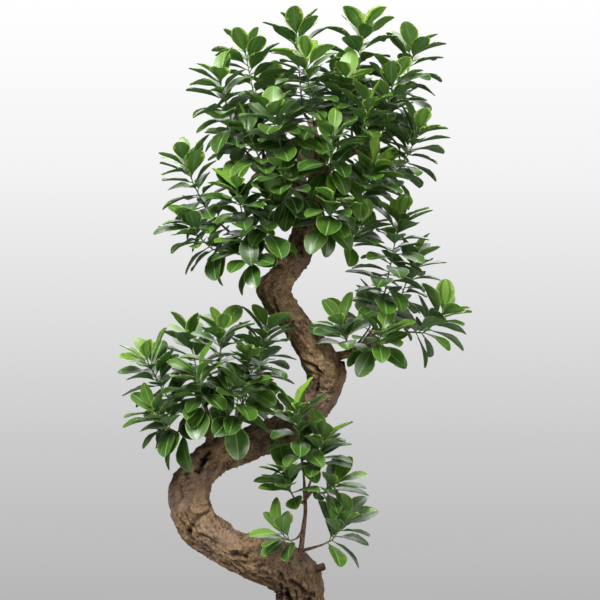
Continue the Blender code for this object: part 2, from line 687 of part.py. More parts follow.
def make_plant(collection, cutters, bark, leaf_material):
    """The trunk with its limbs and twigs as one solid, and one solid for each leafy shoot."""
    path = smooth_path(TRUNK, TRUNK_RING_SPACING)
    trunk = loft("trunk_body", trunk_rings(path), collection)
    woody = [tube(f"stub_{k + 1}", [Vector(start), Vector(end)], radius, radius * STUB_TAPER, 1, collection)
             for k, (start, end, radius) in enumerate(STUBS)]
    for name, (points, start_radius, end_radius) in LIMBS.items():
        line = smooth_path(points, LIMB_RING_SPACING)
        woody.append(tube("limb_" + name, line, start_radius, end_radius, 1, collection))
    stems = {}
    space = Space()
    for name, shoot in SHOOTS.items():
        twig, stem = shoot_path(shoot)
        woody.append(tube("twig_" + name, twig, TWIG_RADIUS, STEM_RADIUS, 0, collection))
        stems[name] = stem
    for thing in (trunk, *woody):
        space.add(mesh_tree(thing), None, 0.0, "trunk")
    stem_solids = {}
    for name, stem in stems.items():
        solid = tube("stem_" + name, stem, STEM_RADIUS, STEM_TIP_RADIUS, 0, collection)
        stem_solids[name] = solid
        reach = (stem[0] - stem[-1]).length * STEM_REACH
        space.add(mesh_tree(solid), (stem[0] + stem[-1]) / 2, reach, name)
    leaves = grow_leaves(stems, space)
    fused(trunk, woody, "trunk", collection, bark)
    for name, solid in stem_solids.items():
        blades = []
        for k, leaf in enumerate(leaves[name]):
            blades.append(leaf_solid(f"{name}_leaf_{k + 1}", leaf, collection))
        fused(solid, blades, "shoot_" + name, collection, leaf_material)
    return path


def main():
    clear_scene()
    plant = bpy.data.collections.new("potted_ficus")
    cutters = bpy.data.collections.new("cutters")
    bpy.context.scene.collection.children.link(plant)
    bpy.context.scene.collection.children.link(cutters)
    make_pot(plant, cutters, principled("pot_plastic", (0.028, 0.028, 0.030), 0.55))
    bark = principled("bark", (0.235, 0.165, 0.105), 0.85)
    leaf = principled("leaf", (0.055, 0.150, 0.035), 0.35)
    path = make_plant(plant, cutters, bark, leaf)
    foot = [ring for ring in trunk_rings(path, SOIL_GAP) if ring[0].z < SOIL_CROWN_Z + HOLE_HEADROOM]
    foot[0] = [co - Vector((0.0, 0.0, SOIL_GAP)) for co in foot[0]]
    make_soil(plant, cutters, principled("soil", (0.045, 0.030, 0.020), 0.95), foot)


main()
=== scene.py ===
import math
from random import Random

import bmesh
import bpy
import numpy as np
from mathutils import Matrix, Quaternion, Vector
from mathutils.bvhtree import BVHTree


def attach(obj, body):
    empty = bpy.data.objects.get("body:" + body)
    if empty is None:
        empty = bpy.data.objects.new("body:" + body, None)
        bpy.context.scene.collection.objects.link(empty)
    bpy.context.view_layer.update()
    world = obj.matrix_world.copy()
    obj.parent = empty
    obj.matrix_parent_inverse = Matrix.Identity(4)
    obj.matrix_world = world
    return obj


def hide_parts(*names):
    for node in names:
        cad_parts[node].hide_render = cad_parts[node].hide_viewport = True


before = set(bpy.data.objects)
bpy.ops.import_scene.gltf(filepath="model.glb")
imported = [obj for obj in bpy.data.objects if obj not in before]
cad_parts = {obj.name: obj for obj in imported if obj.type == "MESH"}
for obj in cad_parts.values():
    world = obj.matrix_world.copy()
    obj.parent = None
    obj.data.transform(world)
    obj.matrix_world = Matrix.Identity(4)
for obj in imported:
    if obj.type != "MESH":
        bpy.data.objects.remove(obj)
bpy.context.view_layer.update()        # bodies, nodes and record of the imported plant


# Studio: a round pale floor that fades out at its edge, a backdrop that goes from white above to grey
# below, three soft boxes, and a long lens level with the middle of the plant.
FLOOR_RADIUS = 2.6
FLOOR_FADE_START = 0.9
BACKDROP_TONES = ((0.0, 0.47), (0.27, 0.60), (0.50, 0.75), (0.73, 0.90), (1.0, 1.0))
BACKDROP_SLOPE = 0.158
SOFT_BOXES = (
    ("key_light", (-1.3, -2.3, 3.8), 1.9, 290.0),
    ("fill_light", (2.2, -3.2, 1.5), 2.4, 75.0),
    ("back_light", (0.3, 2.0, 3.4), 3.0, 75.0),
)
LIGHT_AIM = Vector((0.0, 0.0, 1.05))
CAMERA_PLACE = (0.0, -4.2, 1.015)
LENS = 112.0
SENSOR = 36.0


def add_node(tree, kind, sockets=None, **settings):
    """One node in a tree, with its settings made and its sockets set or joined to others."""
    node = tree.nodes.new(kind)
    for name, value in settings.items():
        setattr(node, name, value)
    for key, value in (sockets or {}).items():
        if isinstance(value, bpy.types.NodeSocket):
            tree.links.new(value, node.inputs[key])
        else:
            node.inputs[key].default_value = value
    return node


def number(tree, operation, *values, clamp=False):
    """The outcome of one sum on numbers."""
    return add_node(tree, "ShaderNodeMath", dict(enumerate(values)), operation=operation, use_clamp=clamp).outputs[0]


def ramp_between(tree, value, low, high, to_low=0.0, to_high=1.0, soft=True):
    """A value carried from one range to another, held at its ends."""
    kind = "SMOOTHSTEP" if soft else "LINEAR"
    sockets = {0: value, 1: low, 2: high, 3: to_low, 4: to_high}
    return add_node(tree, "ShaderNodeMapRange", sockets, interpolation_type=kind).outputs[0]


def mix_color(tree, share, first, second, kind="MIX"):
    """Two colours mixed by a share from 0 to 1."""
    colors = [(*c, 1.0) if isinstance(c, tuple) and len(c) == 3 else c for c in (first, second)]
    sockets = {0: share, 6: colors[0], 7: colors[1]}
    return add_node(tree, "ShaderNodeMix", sockets, data_type="RGBA", blend_type=kind).outputs[2]


def new_material(name, roughness, **constants):
    """An empty Principled material: its tree and its shader."""
    material = bpy.data.materials.new(name)
    material.use_nodes = True
    shader = material.node_tree.nodes["Principled BSDF"]
    shader.inputs["Roughness"].default_value = roughness
    for socket, value in constants.items():
        shader.inputs[socket.replace("_", " ")].default_value = value
    return material, material.node_tree, shader


def object_place(tree):
    return add_node(tree, "ShaderNodeTexCoord").outputs["Object"]


def new_object(name, mesh):
    thing = bpy.data.objects.new(name, mesh)
    bpy.context.scene.collection.objects.link(thing)
    return thing


def mesh_from(name, points, faces):
    mesh = bpy.data.meshes.new(name)
    mesh.from_pydata(points, [], faces)
    mesh.shade_smooth()
    return mesh


backdrop = bpy.data.worlds.new("backdrop")
bpy.context.scene.world = backdrop
backdrop.use_nodes = True
sky = backdrop.node_tree
sky.nodes.clear()
height = add_node(sky, "ShaderNodeSeparateXYZ", {0: add_node(sky, "ShaderNodeTexCoord").outputs["Generated"]})
tone = add_node(sky, "ShaderNodeValToRGB", {0: ramp_between(sky, height.outputs[2], -BACKDROP_SLOPE, BACKDROP_SLOPE,
                                                            soft=False)})
stops = tone.color_ramp.elements
while len(stops) < len(BACKDROP_TONES):
    stops.new(0.5)
for stop, (place, grey) in zip(stops, BACKDROP_TONES):
    stop.position = place
    stop.color = (grey, grey, grey, 1.0)
seen = add_node(sky, "ShaderNodeBackground", {0: tone.outputs[0], 1: 1.0})
around = add_node(sky, "ShaderNodeBackground", {0: (0.99, 1.0, 0.98, 1.0), 1: 0.12})
straight = add_node(sky, "ShaderNodeLightPath").outputs["Is Camera Ray"]
both = add_node(sky, "ShaderNodeMixShader", {0: straight, 1: around.outputs[0], 2: seen.outputs[0]})
add_node(sky, "ShaderNodeOutputWorld", {0: both.outputs[0]})

floor_points = [(FLOOR_RADIUS * math.cos(math.tau * k / 96), FLOOR_RADIUS * math.sin(math.tau * k / 96), -0.0005)
                for k in range(96)]
floor = new_object("floor", mesh_from("floor", floor_points, [tuple(range(96))]))
floor_finish, tree, shader = new_material("floor_finish", 0.75)
shader.inputs["Base Color"].default_value = (0.50, 0.50, 0.50, 1.0)
away = add_node(tree, "ShaderNodeVectorMath", {0: object_place(tree)}, operation="LENGTH").outputs["Value"]
tree.links.new(ramp_between(tree, away, FLOOR_FADE_START, FLOOR_RADIUS, 1.0, 0.0), shader.inputs["Alpha"])
floor.data.materials.append(floor_finish)

for name, place, size, power in SOFT_BOXES:
    light = bpy.data.lights.new(name, "AREA")
    light.shape = "DISK"
    light.size = size
    light.energy = power
    box = bpy.data.objects.new(name, light)
    bpy.context.scene.collection.objects.link(box)
    box.location = place
    box.rotation_euler = (LIGHT_AIM - Vector(place)).to_track_quat("-Z", "Y").to_euler()

lens = bpy.data.cameras.new("camera")
lens.lens = LENS
lens.sensor_width = SENSOR
camera = bpy.data.objects.new("camera", lens)
bpy.context.scene.collection.objects.link(camera)
camera.location = CAMERA_PLACE
camera.rotation_euler = (math.pi / 2, 0.0, 0.0)
bpy.context.scene.camera = camera
bpy.context.scene.view_settings.view_transform = "Standard"


# Pot: a plain nursery pot, blow-moulded in one piece from matt dark plastic, with a turned-over rim band,
# a stacking step below it, and drain holes in a groove under its base.
POT_HEIGHT = 0.300
POT_RIM_RADIUS = 0.180
POT_NECK_RADIUS = 0.170
POT_BASE_RADIUS = 0.135
POT_WALL = 0.0028
POT_FLOOR = 0.008
RIM_DEPTH = 0.030
GROOVE_OUTER = 0.102
GROOVE_INNER = 0.070
GROOVE_DEPTH = 0.004
DRAIN_COUNT = 6
DRAIN_RADIUS = 0.007
DRAIN_CIRCLE = 0.086
POT_STEPS = 128
POT_TAPER = (POT_NECK_RADIUS - POT_BASE_RADIUS) / POT_HEIGHT


def finished(thing, name):
    """The plain mesh that an object's modifiers leave, as a new object. The old one is removed."""
    mesh = bpy.data.meshes.new_from_object(thing.evaluated_get(bpy.context.evaluated_depsgraph_get()))
    mesh.name = name
    bpy.data.objects.remove(thing, do_unlink=True)
    return new_object(name, mesh)


def turned(name, profile, steps):
    """A closed solid turned round the upright axis from a half profile of radius and height."""
    mesh = bpy.data.meshes.new(name)
    mesh.from_pydata([(x, 0.0, z) for x, z in profile], [(i, i + 1) for i in range(len(profile) - 1)], [])
    solid = new_object(name, mesh)
    screw = solid.modifiers.new("turn", "SCREW")
    screw.steps = screw.render_steps = steps
    screw.use_merge_vertices = True
    screw.merge_threshold = 0.00005
    solid = finished(solid, name)
    bm = bmesh.new()
    bm.from_mesh(solid.data)
    bmesh.ops.recalc_face_normals(bm, faces=bm.faces)
    bm.to_mesh(solid.data)
    bm.free()
    solid.data.shade_smooth()
    return solid


def effect_group(name, inputs, outputs):
    """An empty shader node group with named sockets: the group, its way in and its way out."""
    group = bpy.data.node_groups.new(name, "ShaderNodeTree")
    for socket, kind, value in inputs:
        made = group.interface.new_socket(socket, in_out="INPUT", socket_type=kind)
        if value is not None:
            made.default_value = value
    for socket, kind in outputs:
        group.interface.new_socket(socket, in_out="OUTPUT", socket_type=kind)
    return group, group.nodes.new("NodeGroupInput"), group.nodes.new("NodeGroupOutput")


# Mottle is the uneven tone and fine roughness that every grown or moulded surface here has.
mottle, way_in, way_out = effect_group(
    "mottle",
    (("Place", "NodeSocketVector", None), ("Patch Scale", "NodeSocketFloat", 20.0),
     ("Grain Scale", "NodeSocketFloat", 300.0), ("Contrast", "NodeSocketFloat", 1.0)),
    (("Patches", "NodeSocketFloat"), ("Grain", "NodeSocketFloat")),
)
patches = add_node(mottle, "ShaderNodeTexNoise", {"Vector": way_in.outputs["Place"], "Detail": 4.0,
                                                  "Scale": way_in.outputs["Patch Scale"]}).outputs[0]
patches = number(mottle, "MULTIPLY", number(mottle, "SUBTRACT", patches, 0.5), way_in.outputs["Contrast"])
mottle.links.new(number(mottle, "ADD", patches, 0.5, clamp=True), way_out.inputs["Patches"])
grain = add_node(mottle, "ShaderNodeTexNoise", {"Vector": way_in.outputs["Place"], "Detail": 3.0,
                                                "Scale": way_in.outputs["Grain Scale"]}).outputs[0]
mottle.links.new(grain, way_out.inputs["Grain"])


def add_mottle(tree, place, patch_scale, grain_scale, contrast):
    group = add_node(tree, "ShaderNodeGroup", node_tree=mottle)
    tree.links.new(place, group.inputs["Place"])
    for socket, value in (("Patch Scale", patch_scale), ("Grain Scale", grain_scale), ("Contrast", contrast)):
        group.inputs[socket].default_value = value
    return group.outputs["Patches"], group.outputs["Grain"]


def add_bump(tree, shader, height, strength, distance):
    bump = add_node(tree, "ShaderNodeBump", {"Height": height, "Strength": strength, "Distance": distance})
    tree.links.new(bump.outputs[0], shader.inputs["Normal"])


def wall_at(z):
    return POT_BASE_RADIUS + POT_TAPER * z


rim_z = POT_HEIGHT - RIM_DEPTH
pot_profile = (
    (0.0, POT_FLOOR), (POT_BASE_RADIUS - POT_WALL - 0.004, POT_FLOOR), (POT_BASE_RADIUS - POT_WALL, POT_FLOOR + 0.003),
    (wall_at(0.08) - POT_WALL, 0.08), (wall_at(0.16) - POT_WALL, 0.16), (wall_at(rim_z) - POT_WALL, rim_z),
    (wall_at(rim_z) + 0.002, rim_z + 0.006), (POT_RIM_RADIUS - POT_WALL * 2, POT_HEIGHT - 0.005),
    (POT_RIM_RADIUS - POT_WALL - 0.0014, POT_HEIGHT - 0.0012), (POT_RIM_RADIUS - POT_WALL, POT_HEIGHT),
    (POT_RIM_RADIUS - 0.0012, POT_HEIGHT - 0.0004), (POT_RIM_RADIUS - 0.0003, POT_HEIGHT - 0.0018),
    (POT_RIM_RADIUS, POT_HEIGHT - 0.004), (POT_RIM_RADIUS - 0.0006, POT_HEIGHT - 0.0065),
    (POT_RIM_RADIUS - 0.0012, POT_HEIGHT - 0.012), (POT_RIM_RADIUS - 0.002, rim_z + 0.0012),
    (POT_RIM_RADIUS - 0.0026, rim_z + 0.0002), (POT_RIM_RADIUS - 0.0036, rim_z), (wall_at(rim_z) + 0.0008, rim_z),
    (wall_at(rim_z - 0.001), rim_z - 0.001), (wall_at(rim_z - 0.016), rim_z - 0.016),
    (wall_at(rim_z - 0.018) - 0.0009, rim_z - 0.0180), (wall_at(0.16) - 0.0009, 0.16), (wall_at(0.08) - 0.0009, 0.08),
    (wall_at(0.016) - 0.0009, 0.016), (wall_at(0.014), 0.014), (POT_BASE_RADIUS + 0.001, 0.004),
    (POT_BASE_RADIUS + 0.0002, 0.0012), (POT_BASE_RADIUS - 0.002, 0.0),
    (GROOVE_OUTER, 0.0), (GROOVE_OUTER, GROOVE_DEPTH), (GROOVE_INNER, GROOVE_DEPTH), (GROOVE_INNER, 0.0), (0.0, 0.0),
)
pot = turned("pot_blank", pot_profile, POT_STEPS)
drains = []
for k in range(DRAIN_COUNT):
    angle = math.tau * k / DRAIN_COUNT
    drain = turned(f"drain_{k}", ((0.0, -0.01), (DRAIN_RADIUS, -0.01), (DRAIN_RADIUS, 0.03), (0.0, 0.03)), 24)
    drain.data.transform(drain.matrix_world.Translation((DRAIN_CIRCLE * math.cos(angle),
                                                         DRAIN_CIRCLE * math.sin(angle), 0.0)))
    hole = pot.modifiers.new(drain.name, "BOOLEAN")
    hole.operation = "DIFFERENCE"
    hole.object = drain
    drains.append(drain)
pot = finished(pot, "nursery_pot")
for drain in drains:
    bpy.data.objects.remove(drain, do_unlink=True)
pot.data.set_sharp_from_angle(angle=math.radians(38))

pot_plastic, tree, shader = new_material("moulded_pot_plastic", 0.52)
patches, grain = add_mottle(tree, object_place(tree), 14.0, 900.0, 1.6)
height = add_node(tree, "ShaderNodeSeparateXYZ", {0: object_place(tree)}).outputs[2]
splash = number(tree, "MULTIPLY", ramp_between(tree, height, 0.10, 0.0, 0.0, 0.55), patches)
plastic_tone = mix_color(tree, patches, (0.020, 0.020, 0.022), (0.032, 0.032, 0.034))
tree.links.new(mix_color(tree, splash, plastic_tone, (0.10, 0.085, 0.065)), shader.inputs["Base Color"])
tree.links.new(ramp_between(tree, patches, 0.2, 0.8, 0.46, 0.62), shader.inputs["Roughness"])
add_bump(tree, shader, grain, 0.35, 0.0003)
pot.data.materials.clear()
pot.data.materials.append(pot_plastic)
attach(pot, "root")
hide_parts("pot")


# Soil: dark potting mix heaped a little towards the trunk, loose on top, with crumbs, bits of bark and a few
# white grains of perlite. It is poured into the pot, and the crumbs are strewn over it by the nodes.
SOIL_EDGE_Z = 0.268
SOIL_CROWN_Z = 0.281
SOIL_LUMP = 0.0028
SOIL_STEPS = 120
SOIL_RINGS = 30
CRUMB_SIZE = 0.0042
CRUMB_COUNT_PER_M2 = 26000.0
CRUMB_SEED = 5


def node_modifier(thing, tree, **values):
    """Puts a node tree on an object and sets its named inputs, each by its socket's identifier."""
    modifier = thing.modifiers.new(tree.name, "NODES")
    modifier.node_group = tree
    for socket in tree.interface.items_tree:
        key = socket.name.replace(" ", "_").lower()
        if socket.in_out == "INPUT" and key in values:
            modifier[socket.identifier] = values[key]
    return modifier


def geometry_tree(name, inputs):
    """An empty geometry node tree with a mesh going in and out: the tree, its way in and its way out."""
    tree = bpy.data.node_groups.new(name, "GeometryNodeTree")
    tree.interface.new_socket("Geometry", in_out="INPUT", socket_type="NodeSocketGeometry")
    for socket, kind, value in inputs:
        made = tree.interface.new_socket(socket, in_out="INPUT", socket_type=kind)
        if value is not None:
            made.default_value = value
    tree.interface.new_socket("Geometry", in_out="OUTPUT", socket_type="NodeSocketGeometry")
    return tree, tree.nodes.new("NodeGroupInput").outputs, tree.nodes.new("NodeGroupOutput").inputs


def named(tree, attribute, kind="FLOAT"):
    node = add_node(tree, "GeometryNodeInputNamedAttribute", {"Name": attribute}, data_type=kind)
    return node.outputs["Attribute"]


def stored(tree, geometry, attribute, value, kind="FLOAT", domain="POINT"):
    sockets = {"Geometry": geometry, "Name": attribute, "Value": value}
    node = add_node(tree, "GeometryNodeStoreNamedAttribute", sockets, data_type=kind, domain=domain)
    return node.outputs[0]


def drawn(tree, low, high, seed, offset):
    """A seeded random number for each point."""
    sockets = {2: low, 3: high, 8: number(tree, "ADD", seed, float(offset))}
    return add_node(tree, "FunctionNodeRandomValue", sockets, data_type="FLOAT").outputs[1]


soil_radius = wall_at(SOIL_EDGE_Z) - POT_WALL - 0.0008
heap = [(soil_radius * k / SOIL_RINGS, SOIL_CROWN_Z - (SOIL_CROWN_Z - SOIL_EDGE_Z) * (k / SOIL_RINGS) ** 2)
        for k in range(SOIL_RINGS + 1)]
soil_foot = wall_at(POT_FLOOR) - POT_WALL - 0.0008
soil = turned("potting_soil", [*heap, (soil_foot, POT_FLOOR + 0.004), (soil_foot - 0.004, POT_FLOOR + 0.0008),
                               (0.0, POT_FLOOR + 0.0008)], SOIL_STEPS)
lumps = Random(3)
waves = [(lumps.uniform(40, 150), lumps.uniform(40, 150), lumps.uniform(0, 6), lumps.uniform(0.2, 1.0))
         for _ in range(9)]
for vertex in soil.data.vertices:
    if vertex.co.z > SOIL_EDGE_Z - 0.0001:
        lump = sum(share * math.sin(u * vertex.co.x + phase) * math.cos(v * vertex.co.y - phase)
                   for u, v, phase, share in waves) / 3.0
        vertex.co.z += SOIL_LUMP * lump + lumps.uniform(-0.0006, 0.0006)

crumb_mesh = bpy.data.meshes.new("crumb")
bm = bmesh.new()
bmesh.ops.create_icosphere(bm, subdivisions=1, radius=1.0)
for vertex in bm.verts:
    vertex.co *= lumps.uniform(0.72, 1.15)
    vertex.co.z *= 0.75
bm.to_mesh(crumb_mesh)
bm.free()
crumb = new_object("crumb_blank", crumb_mesh)

strewn, given, result = geometry_tree("strewn_crumbs", (
    ("Crumb", "NodeSocketObject", None), ("Crumb Size", "NodeSocketFloat", CRUMB_SIZE),
    ("Crumbs Per Area", "NodeSocketFloat", CRUMB_COUNT_PER_M2), ("Seed", "NodeSocketInt", CRUMB_SEED),
    ("Soil Material", "NodeSocketMaterial", None)))
facing = add_node(strewn, "ShaderNodeSeparateXYZ", {0: add_node(strewn, "GeometryNodeInputNormal").outputs[0]})
top_only = number(strewn, "GREATER_THAN", facing.outputs[2], 0.5)
spread = add_node(strewn, "GeometryNodeDistributePointsOnFaces", {
    "Mesh": given["Geometry"], "Selection": top_only, "Density": given["Crumbs Per Area"], "Seed": given["Seed"]})
blank = add_node(strewn, "GeometryNodeObjectInfo", {"Object": given["Crumb"]}).outputs["Geometry"]
size = number(strewn, "MULTIPLY", given["Crumb Size"],
              number(strewn, "POWER", drawn(strewn, 0.25, 1.0, given["Seed"], 1), 2.0))
flatness = drawn(strewn, 0.35, 1.0, given["Seed"], 2)
slenderness = drawn(strewn, 0.6, 1.9, given["Seed"], 3)
scale = add_node(strewn, "ShaderNodeCombineXYZ", {
    0: number(strewn, "MULTIPLY", size, slenderness), 1: size, 2: number(strewn, "MULTIPLY", size, flatness)})
spin = add_node(strewn, "FunctionNodeRandomValue", {0: (-0.5, -0.5, 0.0), 1: (0.5, 0.5, math.tau),
                                                    8: given["Seed"]}, data_type="FLOAT_VECTOR").outputs[0]
bits = add_node(strewn, "GeometryNodeInstanceOnPoints", {
    "Points": spread.outputs["Points"], "Instance": blank, "Rotation": spin, "Scale": scale.outputs[0]}).outputs[0]
bits = stored(strewn, bits, "crumb_tint", drawn(strewn, 0.0, 1.0, given["Seed"], 4), domain="INSTANCE")
joined = add_node(strewn, "GeometryNodeJoinGeometry", {0: given["Geometry"]})
strewn.links.new(bits, joined.inputs[0])
real = add_node(strewn, "GeometryNodeRealizeInstances", {0: joined.outputs[0]}).outputs[0]
strewn.links.new(add_node(strewn, "GeometryNodeSetMaterial", {
    "Geometry": real, "Material": given["Soil Material"]}).outputs[0], result[0])

soil_finish, tree, shader = new_material("damp_potting_soil", 0.92)
patches, grain = add_mottle(tree, object_place(tree), 60.0, 700.0, 1.5)
tint = add_node(tree, "ShaderNodeAttribute", attribute_name="crumb_tint").outputs["Fac"]
soil_tone = mix_color(tree, patches, (0.018, 0.011, 0.007), (0.062, 0.040, 0.024))
soil_tone = mix_color(tree, ramp_between(tree, tint, 0.3, 0.9), soil_tone, (0.110, 0.066, 0.036))
soil_tone = mix_color(tree, number(tree, "GREATER_THAN", tint, 0.975), soil_tone, (0.55, 0.54, 0.50))
tree.links.new(soil_tone, shader.inputs["Base Color"])
tree.links.new(ramp_between(tree, patches, 0.2, 0.8, 0.98, 0.84), shader.inputs["Roughness"])
add_bump(tree, shader, grain, 0.6, 0.0008)

node_modifier(soil, strewn, crumb=crumb, crumb_size=CRUMB_SIZE, crumbs_per_area=CRUMB_COUNT_PER_M2, seed=CRUMB_SEED,
              soil_material=soil_finish)
soil = finished(soil, "potting_soil")
bpy.data.objects.remove(crumb, do_unlink=True)
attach(soil, "root")
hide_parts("soil")


# Trunk: one grown piece of wood with its root flare, S bends, knots, cut stubs, bare limbs and twigs. Its skin is
# grey-brown bark over twisted sinews, split by long fissures, with hard folds on the inside of the bends.
# Its colour carries painted shade in the fissures, folds, pits and dips of its relief.
TRUNK = (
    (0.005, 0.004, 0.232, 0.058), (0.005, 0.004, 0.262, 0.066), (0.004, 0.003, 0.292, 0.062),
    (0.002, 0.000, 0.340, 0.054), (0.000, -0.005, 0.372, 0.055), (-0.016, -0.012, 0.401, 0.056),
    (-0.052, -0.020, 0.425, 0.052), (-0.097, -0.025, 0.441, 0.052), (-0.139, -0.030, 0.453, 0.043),
    (-0.180, -0.030, 0.475, 0.040), (-0.220, -0.030, 0.506, 0.045), (-0.245, -0.020, 0.551, 0.043),
    (-0.247, -0.010, 0.592, 0.044), (-0.229, 0.000, 0.630, 0.039), (-0.196, 0.010, 0.659, 0.038),
    (-0.139, 0.020, 0.682, 0.036), (-0.067, 0.030, 0.709, 0.035), (-0.009, 0.030, 0.736, 0.035),
    (0.029, 0.020, 0.772, 0.036), (0.052, 0.010, 0.812, 0.038), (0.056, -0.005, 0.851, 0.042),
    (0.043, -0.015, 0.887, 0.039), (0.016, -0.020, 0.925, 0.035), (-0.013, -0.020, 0.966, 0.033),
    (-0.043, -0.015, 1.006, 0.034), (-0.054, -0.005, 1.040, 0.035), (-0.032, 0.005, 1.076, 0.030),
    (-0.007, 0.010, 1.112, 0.030), (0.007, 0.010, 1.150, 0.032), (0.016, 0.005, 1.184, 0.029),
    (0.027, 0.000, 1.218, 0.027), (0.036, 0.000, 1.254, 0.025), (0.040, 0.000, 1.289, 0.021),
    (0.040, 0.000, 1.330, 0.018), (0.036, 0.000, 1.375, 0.013),
)
TRUNK_SIDES = 96
TRUNK_STEP = 0.0027
FRONT = Vector((0.0, -1.0, 0.0))
ROOT_LOBES = 5
ROOT_SWELL = 0.016
ROOT_TOP_Z = 0.385
KNOTS = (
    ((-0.125, -0.075, 0.452), 0.007, 0.024), ((-0.085, -0.075, 0.440), 0.006, 0.026),
    ((-0.165, -0.020, 0.512), 0.008, 0.018), ((-0.245, -0.040, 0.625), 0.006, 0.020),
    ((-0.225, 0.040, 0.540), 0.008, 0.030), ((0.098, -0.010, 0.848), 0.007, 0.022),
    ((-0.088, -0.010, 1.046), 0.010, 0.020), ((0.025, 0.020, 1.100), 0.005, 0.022),
)
STUBS = (
    ((0.010, -0.020, 0.402), (0.054, -0.036, 0.421), 0.0100), ((-0.225, -0.010, 0.625), (-0.243, -0.052, 0.668), 0.0090),
    ((0.050, -0.010, 0.870), (0.098, -0.030, 0.872), 0.0100), ((0.000, 0.010, 1.130), (0.046, -0.022, 1.146), 0.0060),
)
LIMBS = {
    "crown_left": (((0.034, 0.000, 1.238), (-0.022, -0.008, 1.282), (-0.080, -0.015, 1.312)), 0.0100, 0.0065),
    "crown_right": (((0.039, 0.000, 1.290), (0.085, 0.004, 1.326), (0.126, 0.010, 1.352)), 0.0095, 0.0065),
    "crown_back": (((0.035, 0.000, 1.250), (0.032, 0.055, 1.290), (0.022, 0.098, 1.325)), 0.0090, 0.0060),
    "crown_front": (((0.030, 0.000, 1.212), (0.042, -0.040, 1.246), (0.046, -0.066, 1.282)), 0.0080, 0.0055),
    "crown_top": (((0.036, 0.000, 1.366), (0.030, 0.014, 1.400), (0.022, 0.026, 1.420)), 0.0100, 0.0060),
    "left": (((-0.012, 0.004, 1.102), (-0.052, -0.022, 1.106), (-0.092, -0.048, 1.112)), 0.0110, 0.0070),
    "right": (((0.016, 0.005, 1.150), (0.050, -0.012, 1.156), (0.076, -0.020, 1.166)), 0.0070, 0.0050),
    "bend_right": (((0.050, -0.008, 0.884), (0.098, -0.012, 0.892), (0.136, -0.012, 0.908)), 0.0120, 0.0075),
    "bend_left": (((-0.214, 0.000, 0.650), (-0.205, -0.004, 0.692), (-0.200, -0.006, 0.720)), 0.0120, 0.0080),
    "bend_middle": (((-0.140, 0.020, 0.682), (-0.138, 0.006, 0.715), (-0.138, 0.000, 0.728)), 0.0085, 0.0065),
    "low_front": (((0.000, -0.010, 0.436), (0.006, -0.040, 0.492), (0.012, -0.056, 0.545), (0.010, -0.056, 0.590)),
                  0.0065, 0.0038),
}
